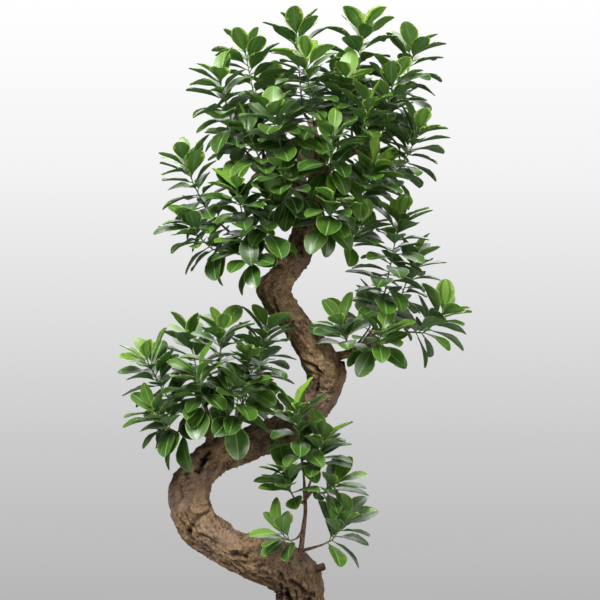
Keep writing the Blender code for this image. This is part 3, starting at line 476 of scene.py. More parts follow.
# Leafy shoots: the limb each grows from, how far along it, where its leafy stem starts, its tip, and how bright
# its newest leaves are. Their bare twigs belong to the trunk.
SHOOTS = {
    "crown_01": ("crown_left", 1.00, (-0.090, 0.045, 1.425), (-0.126, 0.065, 1.588), 0.45),
    "crown_02": ("crown_top", 1.00, (0.006, 0.040, 1.450), (-0.009, 0.045, 1.628), 0.30),
    "crown_03": ("crown_front", 1.00, (0.034, -0.095, 1.375), (0.013, -0.125, 1.542), 0.75),
    "crown_04": ("crown_front", 0.90, (0.062, -0.108, 1.290), (0.072, -0.185, 1.372), 0.20),
    "crown_05": ("crown_right", 0.95, (0.116, -0.022, 1.412), (0.142, -0.030, 1.622), 0.80),
    "crown_06": ("crown_right", 1.00, (0.188, 0.028, 1.405), (0.262, 0.038, 1.588), 0.25),
    "crown_07": ("crown_left", 0.95, (-0.120, -0.066, 1.345), (-0.178, -0.118, 1.502), 0.55),
    "crown_08": ("crown_right", 0.60, (0.176, -0.040, 1.270), (0.266, -0.065, 1.392), 0.50),
    "crown_09": ("left", 1.00, (-0.172, -0.055, 1.180), (-0.255, -0.085, 1.320), 0.20),
    "crown_10": ("left", 0.80, (-0.100, -0.096, 1.130), (-0.138, -0.165, 1.262), 0.65),
    "crown_11": ("left", 0.95, (-0.150, -0.085, 1.126), (-0.248, -0.125, 1.190), 0.15),
    "crown_12": ("crown_front", 0.60, (0.112, -0.092, 1.226), (0.160, -0.145, 1.312), 0.85),
    "crown_13": ("crown_back", 1.00, (-0.034, 0.140, 1.395), (-0.063, 0.175, 1.512), 0.30),
    "crown_14": ("crown_top", 0.80, (0.079, 0.085, 1.440), (0.095, 0.150, 1.555), 0.40),
    "crown_15": ("crown_right", 0.90, (0.165, 0.120, 1.355), (0.212, 0.175, 1.470), 0.25),
    "crown_16": ("crown_left", 0.80, (-0.104, 0.085, 1.315), (-0.160, 0.135, 1.418), 0.50),
    "crown_17": ("crown_back", 0.85, (0.010, 0.160, 1.300), (-0.006, 0.235, 1.385), 0.20),
    "crown_18": ("crown_back", 0.50, (0.105, 0.100, 1.248), (0.185, 0.170, 1.315), 0.60),
    "crown_19": ("crown_front", 1.00, (-0.024, -0.095, 1.318), (-0.062, -0.160, 1.425), 0.30),
    "crown_20": ("crown_front", 0.70, (-0.008, -0.098, 1.232), (-0.040, -0.170, 1.300), 0.20),
    "crown_21": ("crown_front", 0.45, (0.058, -0.085, 1.190), (0.072, -0.160, 1.232), 0.80),
    "crown_22": ("crown_right", 0.75, (0.110, -0.085, 1.340), (0.150, -0.150, 1.440), 0.35),
    "crown_23": ("left", 0.45, (-0.078, -0.085, 1.135), (-0.064, -0.145, 1.240), 0.30),
    "crown_24": ("crown_front", 0.80, (-0.050, -0.085, 1.290), (-0.116, -0.140, 1.385), 0.25),
    "crown_25": ("crown_right", 0.55, (0.085, -0.070, 1.375), (0.102, -0.108, 1.500), 0.45),
    "crown_26": ("left", 0.65, (-0.092, -0.090, 1.100), (-0.134, -0.152, 1.148), 0.30),
    "crown_27": ("crown_right", 0.85, (0.170, -0.060, 1.385), (0.208, -0.090, 1.500), 0.35),
    "right_1": ("bend_right", 0.95, (0.172, -0.048, 0.970), (0.220, -0.082, 1.200), 0.75),
    "right_2": ("bend_right", 0.80, (0.118, -0.058, 0.905), (0.090, -0.098, 0.962), 0.20),
    "right_3": ("bend_right", 0.90, (0.242, -0.018, 0.942), (0.324, -0.020, 0.990), 0.95),
    "right_4": ("right", 1.00, (0.094, -0.046, 1.140), (0.138, -0.084, 1.178), 0.40),
    "right_5": ("bend_right", 0.95, (0.200, 0.050, 0.968), (0.262, 0.078, 1.112), 0.30),
    "right_6": ("bend_right", 0.75, (0.148, 0.062, 0.936), (0.176, 0.116, 1.012), 0.25),
    "right_7": ("bend_right", 0.92, (0.154, -0.062, 0.914), (0.180, -0.126, 0.948), 0.30),
    "left_1": ("bend_left", 1.00, (-0.188, -0.048, 0.772), (-0.172, -0.088, 0.950), 0.45),
    "left_2": ("bend_middle", 1.00, (-0.118, -0.030, 0.780), (-0.072, -0.052, 0.955), 0.20),
    "left_3": ("bend_left", 0.95, (-0.246, -0.030, 0.758), (-0.340, -0.068, 0.885), 0.70),
    "left_4": ("bend_left", 1.00, (-0.214, 0.042, 0.780), (-0.252, 0.062, 0.932), 0.45),
    "left_5": ("bend_left", 0.80, (-0.242, -0.064, 0.730), (-0.320, -0.120, 0.772), 0.15),
    "left_6": ("bend_middle", 0.90, (-0.140, 0.070, 0.755), (-0.104, 0.120, 0.880), 0.25),
    "left_7": ("bend_middle", 0.80, (-0.150, -0.072, 0.742), (-0.132, -0.140, 0.828), 0.15),
    "left_8": ("bend_left", 0.90, (-0.205, -0.075, 0.758), (-0.222, -0.140, 0.856), 0.25),
    "left_9": ("bend_middle", 0.95, (-0.128, -0.068, 0.785), (-0.120, -0.112, 0.892), 0.35),
    "low_1": ("low_front", 1.00, (0.008, -0.060, 0.625), (-0.009, -0.106, 0.780), 1.00),
    "low_2": ("low_front", 0.12, (0.048, -0.062, 0.472), (0.102, -0.080, 0.535), 0.25),
    "low_3": ("low_front", 0.90, (0.030, -0.068, 0.592), (0.080, -0.094, 0.614), 0.35),
    "low_4": ("low_front", 0.46, (-0.006, -0.080, 0.490), (-0.042, -0.108, 0.507), 0.30),
    "low_5": ("low_front", 0.85, (-0.008, -0.076, 0.572), (-0.034, -0.108, 0.640), 0.20),
    "low_6": ("low_front", 0.92, (0.026, -0.076, 0.622), (0.050, -0.104, 0.710), 0.25),
}
SHOOT_SAG = 0.27
SHOOT_SPACING = 0.004
STEM_POINTS = 4
TWIG_RADIUS = 0.0040
STEM_RADIUS = 0.0024
STEM_TIP_RADIUS = 0.0011
STEM_GAP = 0.0003
CAP_LENGTH = 0.005
# Folds pressed into the front of the trunk: points across and up, how deep, and how wide. A raised one is below 0.
FOLDS = (
    (((-0.202, 0.545), (-0.220, 0.538), (-0.233, 0.524), (-0.243, 0.509), (-0.250, 0.492)), 0.0062, 0.0034),
    (((-0.246, 0.556), (-0.247, 0.548), (-0.239, 0.541), (-0.227, 0.537)), 0.0040, 0.0024),
    (((-0.209, 0.674), (-0.217, 0.655), (-0.227, 0.635)), 0.0100, 0.0048),
    (((-0.241, 0.626), (-0.236, 0.650), (-0.224, 0.676)), -0.0060, 0.0060),
    (((-0.047, 0.410), (-0.039, 0.399), (-0.032, 0.387)), 0.0050, 0.0030),
    (((-0.022, 0.390), (-0.007, 0.384), (0.004, 0.377), (0.013, 0.366), (0.029, 0.358)), 0.0072, 0.0040),
    (((0.030, 0.420), (0.038, 0.405), (0.042, 0.391)), 0.0038, 0.0022),
    (((0.005, 0.879), (0.020, 0.873), (0.032, 0.865), (0.043, 0.855)), 0.0062, 0.0032),
    (((0.048, 0.795), (0.061, 0.802), (0.075, 0.808)), 0.0050, 0.0028),
    (((-0.109, 0.435), (-0.097, 0.447), (-0.085, 0.449), (-0.066, 0.438)), -0.0042, 0.0034),
    (((-0.100, 0.427), (-0.088, 0.425), (-0.076, 0.428)), 0.0042, 0.0024),
    (((-0.152, 0.452), (-0.136, 0.451), (-0.119, 0.448)), 0.0066, 0.0046),
    (((-0.003, 1.157), (0.002, 1.137), (0.007, 1.114)), 0.0040, 0.0026),
    (((0.021, 1.156), (0.021, 1.127)), 0.0040, 0.0024),
    (((-0.045, 1.038), (-0.0452, 1.036)), 0.0060, 0.0030),
    (((-0.146, 0.436), (-0.108, 0.410), (-0.072, 0.385)), 0.0034, 0.0024),
    (((-0.153, 0.428), (-0.117, 0.402), (-0.085, 0.384)), 0.0028, 0.0022),
    (((-0.030, 0.372), (-0.026, 0.340), (-0.030, 0.300)), 0.0070, 0.0050),
    (((0.020, 0.350), (0.026, 0.320), (0.030, 0.290)), 0.0056, 0.0042),
    (((-0.043, 0.384), (-0.040, 0.350), (-0.044, 0.305)), 0.0052, 0.0030),
    (((-0.010, 0.372), (-0.006, 0.345), (-0.012, 0.300)), 0.0044, 0.0028),
    (((-0.055, 0.440), (-0.012, 0.431), (0.020, 0.417), (0.038, 0.398)), -0.0042, 0.0100),
    (((-0.120, 0.418), (-0.086, 0.396), (-0.052, 0.372)), 0.0036, 0.0022),
    (((-0.148, 0.462), (-0.132, 0.464), (-0.118, 0.459)), -0.0040, 0.0040),
    (((-0.268, 0.566), (-0.262, 0.585), (-0.266, 0.604)), 0.0036, 0.0022),
    (((-0.240, 0.574), (-0.228, 0.562), (-0.214, 0.560)), -0.0034, 0.0060),
    (((-0.228, 0.500), (-0.206, 0.492), (-0.186, 0.478)), 0.0032, 0.0022),
    (((0.028, 0.786), (0.040, 0.822), (0.040, 0.858)), 0.0042, 0.0026),
    (((0.070, 0.820), (0.078, 0.850), (0.072, 0.874)), -0.0040, 0.0070),
    (((-0.030, 0.960), (-0.052, 0.990), (-0.060, 1.020)), 0.0036, 0.0024),
)


def smooth_path(points, spacing):
    """Points along a smooth curve through the given ones. A point may carry its radius as a fourth value."""
    knots = [Vector(point) for point in points]
    knots.insert(0, knots[0] * 2 - knots[1])
    knots.append(knots[-1] * 2 - knots[-2])
    path = []
    for before, start, end, after in zip(knots, knots[1:], knots[2:], knots[3:]):
        steps = max(1, round((end - start).length / spacing))
        for step in range(steps):
            t = step / steps
            path.append(0.5 * (start * 2 + (end - before) * t
                               + (before * 2 - start * 5 + end * 4 - after) * t ** 2
                               + (start * 3 - before - end * 3 + after) * t ** 3))
    path.append(knots[-2])
    return path


def point_along(path, share):
    """The point at a share of the path's length."""
    spans = [(b - a).length for a, b in zip(path, path[1:])]
    left = share * sum(spans)
    for a, b, span in zip(path, path[1:], spans):
        if left <= span:
            return a.lerp(b, left / span)
        left -= span
    return path[-1].copy()


def thinned(path, count):
    """The path with only a few of its points, its two ends among them."""
    last = len(path) - 1
    return [path[round(last * k / (count - 1))] for k in range(count)]


def shoot_path(shoot):
    """A shoot's line in two parts: its bare twig, and the leafy stem that sits on the twig's end."""
    limb, share, base, tip = shoot[:4]
    fork = point_along(smooth_path(LIMBS[limb][0], 0.02), share)
    base, tip = Vector(base), Vector(tip)
    middle = (base + tip) / 2 - Vector((0.0, 0.0, SHOOT_SAG)) * (tip - base).to_2d().length
    whole = smooth_path((fork, base, middle, tip), SHOOT_SPACING)
    split = min(range(len(whole)), key=lambda i: (whole[i] - base).length)
    heading = (whole[split + 1] - whole[split - 1]).normalized()
    start = base + heading * STEM_GAP
    stem = [start, start + heading * CAP_LENGTH, *thinned(whole[split:], STEM_POINTS)[1:]]
    return whole[:split + 1], stem


wood = {"points": [], "faces": [], "flow": [], "girth": [], "hollow": [], "cut": []}


def frames_along(path):
    """For each station its place, the two directions across it, and the length up to it."""
    places = np.array([point.to_3d() for point in path])
    ahead = np.vstack([places[1:], places[-1:]])
    behind = np.vstack([places[:1], places[:-1]])
    along = ahead - behind
    along /= np.linalg.norm(along, axis=1)[:, None]
    reference = np.array(FRONT) if abs(along[:, 1]).max() < 0.93 else np.array((0.6, 0.0, 0.8))
    front = reference - along * (along @ reference)[:, None]
    front /= np.linalg.norm(front, axis=1)[:, None]
    side = np.cross(along, front)
    travelled = np.cumsum(np.linalg.norm(places - behind, axis=1))
    return places, front, side, travelled


def add_skin(rings, flow, girth, hollow, cut):
    """Adds a closed skin over rings of points to the wood, with what the bark nodes and material read."""
    count, sides = rings.shape[:2]
    first = len(wood["points"])
    wood["points"].extend(map(tuple, rings.reshape(-1, 3)))
    for i in range(count - 1):
        for k in range(sides):
            a, b = first + i * sides + k, first + i * sides + (k + 1) % sides
            wood["faces"].append((a, b, b + sides, a + sides))
    for ring, ends in ((0, slice(None, None, -1)), (count - 1, slice(None))):
        wood["points"].append(tuple(rings[ring].mean(axis=0)))
        centre = len(wood["points"]) - 1
        around = list(range(first + ring * sides, first + ring * sides + sides))[ends]
        wood["faces"].extend((centre, a, b) for a, b in zip(around, around[1:] + around[:1]))
        flow = np.vstack([flow, rings[ring].mean(axis=0)[None] * 0 + flow[ring * sides]])
        girth, hollow = np.append(girth, girth[ring * sides] * 0), np.append(hollow, hollow[ring * sides])
        cut = np.append(cut, cut[ring * sides])
    wood["flow"].extend(map(tuple, flow))
    for name, values in (("girth", girth), ("hollow", hollow), ("cut", cut)):
        wood[name].extend(values)


def flow_lines(angles, radii, travelled, twist, start):
    """Places in a space where the trunk is a straight post, so that a grain follows its length and twists."""
    turned_by = angles[None, :] + twist * travelled[:, None]
    return np.stack([np.cos(turned_by) * radii[:, None] + start, np.sin(turned_by) * radii[:, None],
                     np.repeat(travelled[:, None] * 0.17, len(angles), axis=1)], axis=-1).reshape(-1, 3)


def add_limb(path, radii, sides, start, cut=False):
    """A round limb or twig along a path, with a collar where it leaves the wood below."""
    places, front, side, travelled = frames_along(path)
    angles = np.arange(sides) * math.tau / sides
    lumps = 1.0 + 0.06 * np.cos(2 * angles[None, :] + 60 * travelled[:, None] + start)
    reach = np.array(radii)[:, None] * lumps
    out = front[:, None] * np.cos(angles)[None, :, None] + side[:, None] * np.sin(angles)[None, :, None]
    rings = places[:, None] + out * reach[..., None]
    ends = np.zeros((len(path), sides))
    if cut:
        ends[-2:] = 1.0
    # A cut stub is painted darker all over, at half the strength of the shaded hollows.
    add_skin(rings, flow_lines(angles, np.array(radii), travelled, 4.0, start), np.repeat(radii, sides),
             np.full(rings.shape[0] * sides, 0.5 if cut else 0.0), ends.ravel())


trunk_path = smooth_path(TRUNK, TRUNK_STEP)
places, front, side, travelled = frames_along(trunk_path)
thickness = np.array([station[3] for station in trunk_path])
angles = np.arange(TRUNK_SIDES) * math.tau / TRUNK_SIDES
out = front[:, None] * np.cos(angles)[None, :, None] + side[:, None] * np.sin(angles)[None, :, None]
lengthwise = travelled[:, None]
flutes = 1.0 + 0.045 * np.cos(2 * angles + 5.0 * lengthwise) + 0.035 * np.cos(3 * angles - 7.0 * lengthwise)
root_fade = np.clip((ROOT_TOP_Z - places[:, 2]) / (ROOT_TOP_Z - SOIL_CROWN_Z), 0.0, 1.0)[:, None]
lobes = 0.5 + 0.5 * np.cos(ROOT_LOBES * angles + 0.6 + 0.9 * np.sin(angles))
reach = thickness[:, None] * flutes + ROOT_SWELL * root_fade ** 1.5 * lobes ** 1.5
skin = places[:, None] + out * reach[..., None]
for centre, rise, spread in KNOTS:
    reach += rise * np.exp(-(np.linalg.norm(skin - np.array(centre), axis=-1) / spread) ** 2)
skin = places[:, None] + out * reach[..., None]
hollow = np.zeros_like(reach)
faces_front = np.clip(-out[..., 1] * 3.0, 0.0, 1.0)
for line, depth, width in FOLDS:
    flat = skin[..., (0, 2)]
    nearest = np.full(reach.shape, 1.0)
    for start, end in zip(line, line[1:]):
        start, span = np.array(start), np.array(end) - np.array(start)
        share = np.clip(((flat - start) @ span) / (span @ span), 0.0, 1.0)
        nearest = np.minimum(nearest, np.linalg.norm(flat - start - share[..., None] * span, axis=-1))
    dip = np.exp(-(nearest / width) ** 2) * faces_front
    lip = np.exp(-((nearest - 2.1 * width) / width) ** 2) * faces_front
    reach -= 1.25 * depth * dip - 0.40 * depth * lip
    # Painted shade: each pressed fold's depth is kept so that the bark colour can be darkened in it.
    hollow += max(0.0, depth) * dip / 0.006
skin = places[:, None] + out * reach[..., None]
add_skin(skin, flow_lines(angles, thickness, travelled, 3.2, 0.0), np.repeat(thickness, TRUNK_SIDES), hollow.ravel(),
         np.zeros(hollow.size))

for rank, (start, end, radius) in enumerate(STUBS):
    start, end = Vector(start), Vector(end)
    count = 16
    path = [start.lerp(end, k / count) for k in range(count + 1)] + [end.lerp(start, -0.001), end.lerp(start, 0.02)]
    radii = [radius * (1.0 - 0.2 * k / count + 0.35 * math.exp(-k / 4.0)) for k in range(count)]
    radii += [radius * 0.76, radius * 0.66, radius * 0.42]
    add_limb(path, radii, 20, 1.0 + rank, cut=True)
for rank, (name, (points, start_radius, end_radius)) in enumerate(LIMBS.items()):
    path = smooth_path(points, 0.004)
    last = len(path) - 1
    radii = [start_radius + (end_radius - start_radius) * k / last + 0.35 * start_radius * math.exp(-k / 5.0)
             for k in range(last + 1)]
    add_limb(path, radii, 20, 2.0 + rank)
stems = {}
for rank, (name, shoot) in enumerate(SHOOTS.items()):
    twig, stems[name] = shoot_path(shoot)
    last = len(twig) - 1
    radii = [TWIG_RADIUS + (STEM_RADIUS - TWIG_RADIUS) * k / last + 0.0012 * math.exp(-k / 3.0)
             for k in range(last + 1)]
    add_limb(twig, radii, 10, 20.0 + rank)

bark_relief, given, result = geometry_tree("bark_relief", (
    ("Sinew Height", "NodeSocketFloat", 0.0), ("Lump Height", "NodeSocketFloat", 0.0),
    ("Flake Height", "NodeSocketFloat", 0.0), ("Fissure Depth", "NodeSocketFloat", 0.0),
    ("Bark Material", "NodeSocketMaterial", None)))
flow = named(bark_relief, "flow", "FLOAT_VECTOR")
girth = named(bark_relief, "girth")
spot = add_node(bark_relief, "GeometryNodeInputPosition").outputs[0]


def grown_noise(tree, place, scale, detail):
    return add_node(tree, "ShaderNodeTexNoise", {"Vector": place, "Scale": scale, "Detail": detail}).outputs[0]


def crack(tree, noise, width):
    """1 along the lines where a noise crosses its middle, falling to 0 at a width on either side."""
    away = number(tree, "ABSOLUTE", number(tree, "SUBTRACT", noise, 0.5))
    return ramp_between(tree, away, 0.0, width, 1.0, 0.0)


def centred(tree, place, scale, detail):
    return number(tree, "SUBTRACT", grown_noise(tree, place, scale, detail), 0.5)


sinew = centred(bark_relief, flow, 48.0, 1.0)
lump = centred(bark_relief, spot, 62.0, 2.0)
flake = centred(bark_relief, spot, 190.0, 3.0)
ribs_where = ramp_between(bark_relief, grown_noise(bark_relief, spot, 13.0, 0.0), 0.46, 0.60)
rib = number(bark_relief, "MULTIPLY", centred(bark_relief, flow, 150.0, 1.0), ribs_where)
long_fissure = number(bark_relief, "MULTIPLY", crack(bark_relief, grown_noise(bark_relief, flow, 78.0, 2.0), 0.030),
                      number(bark_relief, "MULTIPLY", ribs_where, 0.8))
cross_where = ramp_between(bark_relief, grown_noise(bark_relief, spot, 21.0, 0.0), 0.47, 0.60)
cross_fissure = crack(bark_relief, grown_noise(bark_relief, spot, 44.0, 3.0), 0.018)
fissure = number(bark_relief, "MAXIMUM", long_fissure, number(bark_relief, "MULTIPLY", cross_fissure, cross_where))
lift = number(bark_relief, "MULTIPLY", sinew, given["Sinew Height"])
lift = number(bark_relief, "ADD", lift, number(bark_relief, "MULTIPLY", lump, given["Lump Height"]))
lift = number(bark_relief, "ADD", lift, number(bark_relief, "MULTIPLY", flake, given["Flake Height"]))
lift = number(bark_relief, "ADD", lift, number(bark_relief, "MULTIPLY", rib, given["Flake Height"]))
lift = number(bark_relief, "SUBTRACT", lift, number(bark_relief, "MULTIPLY", fissure, given["Fissure Depth"]))
lift = number(bark_relief, "MULTIPLY", lift, ramp_between(bark_relief, girth, 0.0, 0.036, 0.0, 1.0, soft=False))
normal = add_node(bark_relief, "GeometryNodeInputNormal").outputs[0]
shift = add_node(bark_relief, "ShaderNodeVectorMath", {0: normal, 3: lift}, operation="SCALE").outputs[0]
# The fissures are added to the folds' painted shade on the bark.
bark = stored(bark_relief, given["Geometry"], "hollow", number(bark_relief, "ADD", named(bark_relief, "hollow"), fissure))
bark = stored(bark_relief, bark, "raised", number(bark_relief, "ADD", flake, number(bark_relief, "MULTIPLY", lump, 0.7)))
bark = stored(bark_relief, bark, "ribbed", ribs_where)
bark = add_node(bark_relief, "GeometryNodeSetPosition", {"Geometry": bark, "Offset": shift}).outputs[0]
bark = add_node(bark_relief, "GeometryNodeRealizeInstances", {0: bark}).outputs[0]
bark_relief.links.new(add_node(bark_relief, "GeometryNodeSetMaterial", {
    "Geometry": bark, "Material": given["Bark Material"]}).outputs[0], result[0])

bark_finish, tree, shader = new_material("grey_brown_bark", 0.85, Specular_IOR_Level=0.25)
patches, grain = add_mottle(tree, object_place(tree), 34.0, 900.0, 2.2)
flow, hollow, raised, ribbed, cut = (add_node(tree, "ShaderNodeAttribute", attribute_name=name).outputs[kind]
                                     for name, kind in (("flow", "Vector"), ("hollow", "Fac"), ("raised", "Fac"),
                                                        ("ribbed", "Fac"), ("cut", "Fac")))
fibre, thread = add_mottle(tree, flow, 150.0, 520.0, 2.0)
crust = grown_noise(tree, object_place(tree), 260.0, 4.0)
bark_tone = mix_color(tree, ramp_between(tree, crust, 0.34, 0.66, soft=False), (0.100, 0.060, 0.030), (0.320, 0.205, 0.108))
bark_tone = mix_color(tree, ramp_between(tree, patches, 0.35, 0.85, 0.0, 0.65), bark_tone, (0.340, 0.225, 0.130))
fibrous = number(tree, "MULTIPLY", ribbed, ramp_between(tree, fibre, 0.35, 0.75, 0.60, 0.0))
bark_tone = mix_color(tree, fibrous, bark_tone, (0.095, 0.054, 0.028))
weathered = ramp_between(tree, grown_noise(tree, object_place(tree), 11.0, 2.0), 0.48, 0.60, 0.0, 0.70)
freckle = ramp_between(tree, grain, 0.50, 0.62)
bark_tone = mix_color(tree, weathered, bark_tone, mix_color(tree, freckle, (0.150, 0.092, 0.064), (0.330, 0.240, 0.180)))
# Painted shade: the bark is darkened in the dips of its relief. It is lightened on the raised flakes and lumps.
bark_tone = mix_color(tree, ramp_between(tree, raised, -0.05, -0.20, 0.0, 0.75), bark_tone, (0.062, 0.036, 0.019))
bark_tone = mix_color(tree, ramp_between(tree, raised, 0.06, 0.20, 0.0, 0.45), bark_tone, (0.400, 0.270, 0.155))
# Painted shade: small pits pressed into the bark are darkened almost to black.
pits = ramp_between(tree, grown_noise(tree, object_place(tree), 420.0, 1.0), 0.31, 0.24, 0.0, 0.85)
bark_tone = mix_color(tree, pits, bark_tone, (0.025, 0.014, 0.007))
# Painted shade: the fissures and pressed folds are darkened almost to black, where shade falls in them.
bark_tone = mix_color(tree, number(tree, "MULTIPLY", hollow, 0.78, clamp=True), bark_tone, (0.016, 0.009, 0.005))
bark_tone = mix_color(tree, cut, bark_tone, (0.030, 0.022, 0.018))
tree.links.new(bark_tone, shader.inputs["Base Color"])
tree.links.new(ramp_between(tree, crust, 0.2, 0.8, 0.95, 0.72), shader.inputs["Roughness"])
relief = number(tree, "ADD", number(tree, "MULTIPLY", crust, 0.8), number(tree, "MULTIPLY", grain, 0.25))
relief = number(tree, "SUBTRACT", relief, number(tree, "MULTIPLY", pits, 0.4))
relief = number(tree, "ADD", relief, number(tree, "MULTIPLY", number(tree, "MULTIPLY", ribbed, fibre), 0.5))
add_bump(tree, shader, relief, 0.9, 0.0022)

trunk_mesh = mesh_from("ficus_trunk", wood["points"], wood["faces"])
for name, kind in (("flow", "FLOAT_VECTOR"), ("girth", "FLOAT"), ("hollow", "FLOAT"), ("cut", "FLOAT")):
    layer = trunk_mesh.attributes.new(name, kind, "POINT")
    layer.data.foreach_set("vector" if kind == "FLOAT_VECTOR" else "value", np.array(wood[name], np.float32).ravel())
trunk = new_object("trunk_blank", trunk_mesh)
node_modifier(trunk, bark_relief, sinew_height=0.013, lump_height=0.013, flake_height=0.0085,
              fissure_depth=0.0052, bark_material=bark_finish)
trunk = finished(trunk, "ficus_trunk")
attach(trunk, "root")
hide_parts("trunk")


# Leafy shoots: young green stems, each ending in a pointed bud, with thick glossy leaves set round them in a
# spiral. The leaves are bent blanks that the nodes place, arch and fold one by one, and join to their stem.
LEAF_LENGTH = 0.090
LEAF_SHAPE = 0.52
NODE_PITCH = 0.0053
TIP_PITCH = 0.72
OLD_PITCH = 1.10
OLD_PITCH_AT = 0.05
SOLID_LEAF_STEP = 4
PETIOLE_SHARE = 0.13
ROOT_DEPTH = 0.0006
PETIOLE_RADIUS = 0.0011
STALK_FLATNESS = 0.6
BLADE_THICKNESS = 0.0014
BLADE_STATIONS = ((0.40, 0.86), (0.74, 0.92))
LEAF_FOLD = math.radians(13.0)
LEAF_CLEARANCE = 0.0012
NEWEST_AT = 0.003
STEM_FOOT = 0.010
OLD_AT = 0.11
GROWN_AT = 0.020
NEWEST_SIZE = 0.76
LEAF_LEAN = (math.radians(27.0), math.radians(66.0))
LEAF_DROOP = (0.06, 0.26)
LEAF_ARCH = (math.radians(14.0), math.radians(42.0))
AGE_POWER = 0.6
HANG_FADE = 0.6
STEM_FACING = 0.65
SKY_FACING = 0.75
EDGE_ON = 0.15
LEAN_SPREAD = (-8.0, 8.0)
FACE_SPREAD = (-0.3, 0.3)
SIZE_SPREAD = (0.82, 1.12)
SHAPE_SPREAD = (0.90, 1.12)
ARCH_SPREAD = (-8.0, 12.0)
LEAF_REACH = 0.62
STEM_REACH = 0.6
GOLDEN_ANGLE = math.radians(137.5)
LEAF_SEED = 11
LEAF_DODGES = (
    (0, 0, 1.00), (14, -6, 1.00), (-14, -6, 1.00), (26, 10, 1.00), (-26, 10, 1.00), (8, 22, 0.96),
    (-8, -20, 0.96), (40, -12, 0.94), (-40, -12, 0.94), (56, 14, 0.92), (-56, 14, 0.92), (0, 34, 0.90),
    (24, -26, 0.88), (-24, -26, 0.88), (75, 0, 0.86), (-75, 0, 0.86),
)
LOOK_SEED = 40
BLANK_STATIONS = (0.165, 0.24, 0.36, 0.50, 0.64, 0.78, 0.89, 0.965)
BLANK_ACROSS = (-1.0, -0.52, 0.0, 0.52, 1.0)
BLADE_HALF_THICKNESS = 0.00035
BUD_LENGTH = 0.011


def leaf_frame(root, along, up, length, width, arch, clearance=0.0):
    """The corner points of a plain leaf: its stalk's root, its stalk's end, the blade's two stations and its tip."""
    side = along.cross(up).normalized()
    up = side.cross(along).normalized()
    length += clearance
    width += 2 * clearance

    def midrib(t):
        turn = arch * t
        return root + along * length * math.sin(turn) / arch - up * length * (1 - math.cos(turn)) / arch

    def lift(t):
        return up * math.cos(arch * t) + along * math.sin(arch * t)

    stalk = PETIOLE_RADIUS + clearance
    middle = midrib(PETIOLE_SHARE)
    top = middle + lift(PETIOLE_SHARE) * stalk * STALK_FLATNESS
    corners = [[root - along * ROOT_DEPTH],
               [top - side * stalk, middle - lift(PETIOLE_SHARE) * stalk, top + side * stalk]]
    for t, share in BLADE_STATIONS:
        middle = midrib(t)
        half = width / 2 * share
        rise = lift(t) * half * math.tan(LEAF_FOLD)
        thick = lift(t) * (BLADE_THICKNESS / 2 + clearance)
        corners.append([middle - side * half + rise, middle - thick, middle + side * half + rise, middle + thick])
    return corners, midrib(1.0)


def leaf_faces(with_stalk):
    """The triangles of a plain leaf, as indices into its points."""
    a = 1 if with_stalk else 0
    faces = [(0, 1, 2), (0, 2, 3), (0, 3, 1)] if with_stalk else [(0, 1, 2)]
    faces += [(a, a + 3, a + 1), (a + 1, a + 3, a + 4), (a + 2, a + 1, a + 5), (a + 1, a + 4, a + 5)]
    faces += [(a + 2, a + 5, a + 6), (a + 2, a + 6, a), (a, a + 6, a + 3)]
    a += 3
    for k in (0, 2):
        faces += [(a + k, a + 4 + k, a + k + 1), (a + k + 1, a + 4 + k, a + 5 + k)]
        j = (k + 2) % 4
        faces += [(a + k + 1, a + 4 + j, a + j), (a + k + 1, a + 5 + k, a + 4 + j)]
    a += 4
    return faces + [(a + k, a + 4, a + (k + 1) % 4) for k in range(4)]


def leaf_tree(corners, tip, with_stalk):
    """A search tree of the plain leaf's skin, for finding what it would touch."""
    used = corners if with_stalk else corners[1:]
    return BVHTree.FromPolygons([co for ring in used for co in ring] + [tip], leaf_faces(with_stalk))


def between(ends, share):
    return ends[0] + (ends[1] - ends[0]) * share


def leaf_directions(path):
    """Places along a leafy stem from its tip down, with the stem's direction and the distance from the tip."""
    back = path[::-1]
    places = []
    travelled = 0.0
    wanted = NEWEST_AT
    for a, b in zip(back, back[1:]):
        span = (b - a).length
        while wanted <= travelled + span:
            places.append((a.lerp(b, (wanted - travelled) / span), (a - b).normalized(), wanted))
            wanted += NODE_PITCH * between((TIP_PITCH, OLD_PITCH), min(1.0, wanted / OLD_PITCH_AT))
        travelled += span
    return [place for place in places if place[2] < travelled - STEM_FOOT]


def leaf_choice(index, place, turn, draw, dodge):
    """One way to set a leaf at a place on the stem: the newest stand up, the oldest lie out and hang a little."""
    root, up_stem, distance = place
    spin, lean, size = dodge
    age = min(1.0, distance / OLD_AT)
    turned_by = Quaternion(up_stem, turn + index * GOLDEN_ANGLE + math.radians(spin))
    outward = turned_by @ up_stem.orthogonal().normalized()
    away = between(LEAF_LEAN, age ** AGE_POWER) + math.radians(draw["lean"] + lean)
    along = (up_stem * math.cos(away) + outward * math.sin(away)).normalized()
    hang = Vector((0.0, 0.0, -between(LEAF_DROOP, age)))
    along = (along + hang * (1.0 - abs(along.z) * HANG_FADE)).normalized()
    face = up_stem * STEM_FACING + Vector((0.0, 0.0, SKY_FACING)) + draw["face"]
    if face.cross(along).length < EDGE_ON:
        face = outward
    length = LEAF_LENGTH * between((NEWEST_SIZE, 1.0), min(1.0, distance / GROWN_AT)) * draw["size"] * size
    arch = between(LEAF_ARCH, age) + math.radians(draw["arch"])
    return root, along, face, length, length * LEAF_SHAPE * draw["shape"], arch


def leaf_draws(draw):
    """The random part of one leaf's growth."""
    return {
        "lean": draw.uniform(*LEAN_SPREAD),
        "face": Vector((draw.uniform(*FACE_SPREAD), draw.uniform(*FACE_SPREAD), 0.0)),
        "size": draw.uniform(*SIZE_SPREAD),
        "shape": draw.uniform(*SHAPE_SPREAD),
        "arch": draw.uniform(*ARCH_SPREAD),
    }


def mesh_tree(points, faces):
    return BVHTree.FromPolygons([Vector(point) for point in points], faces)


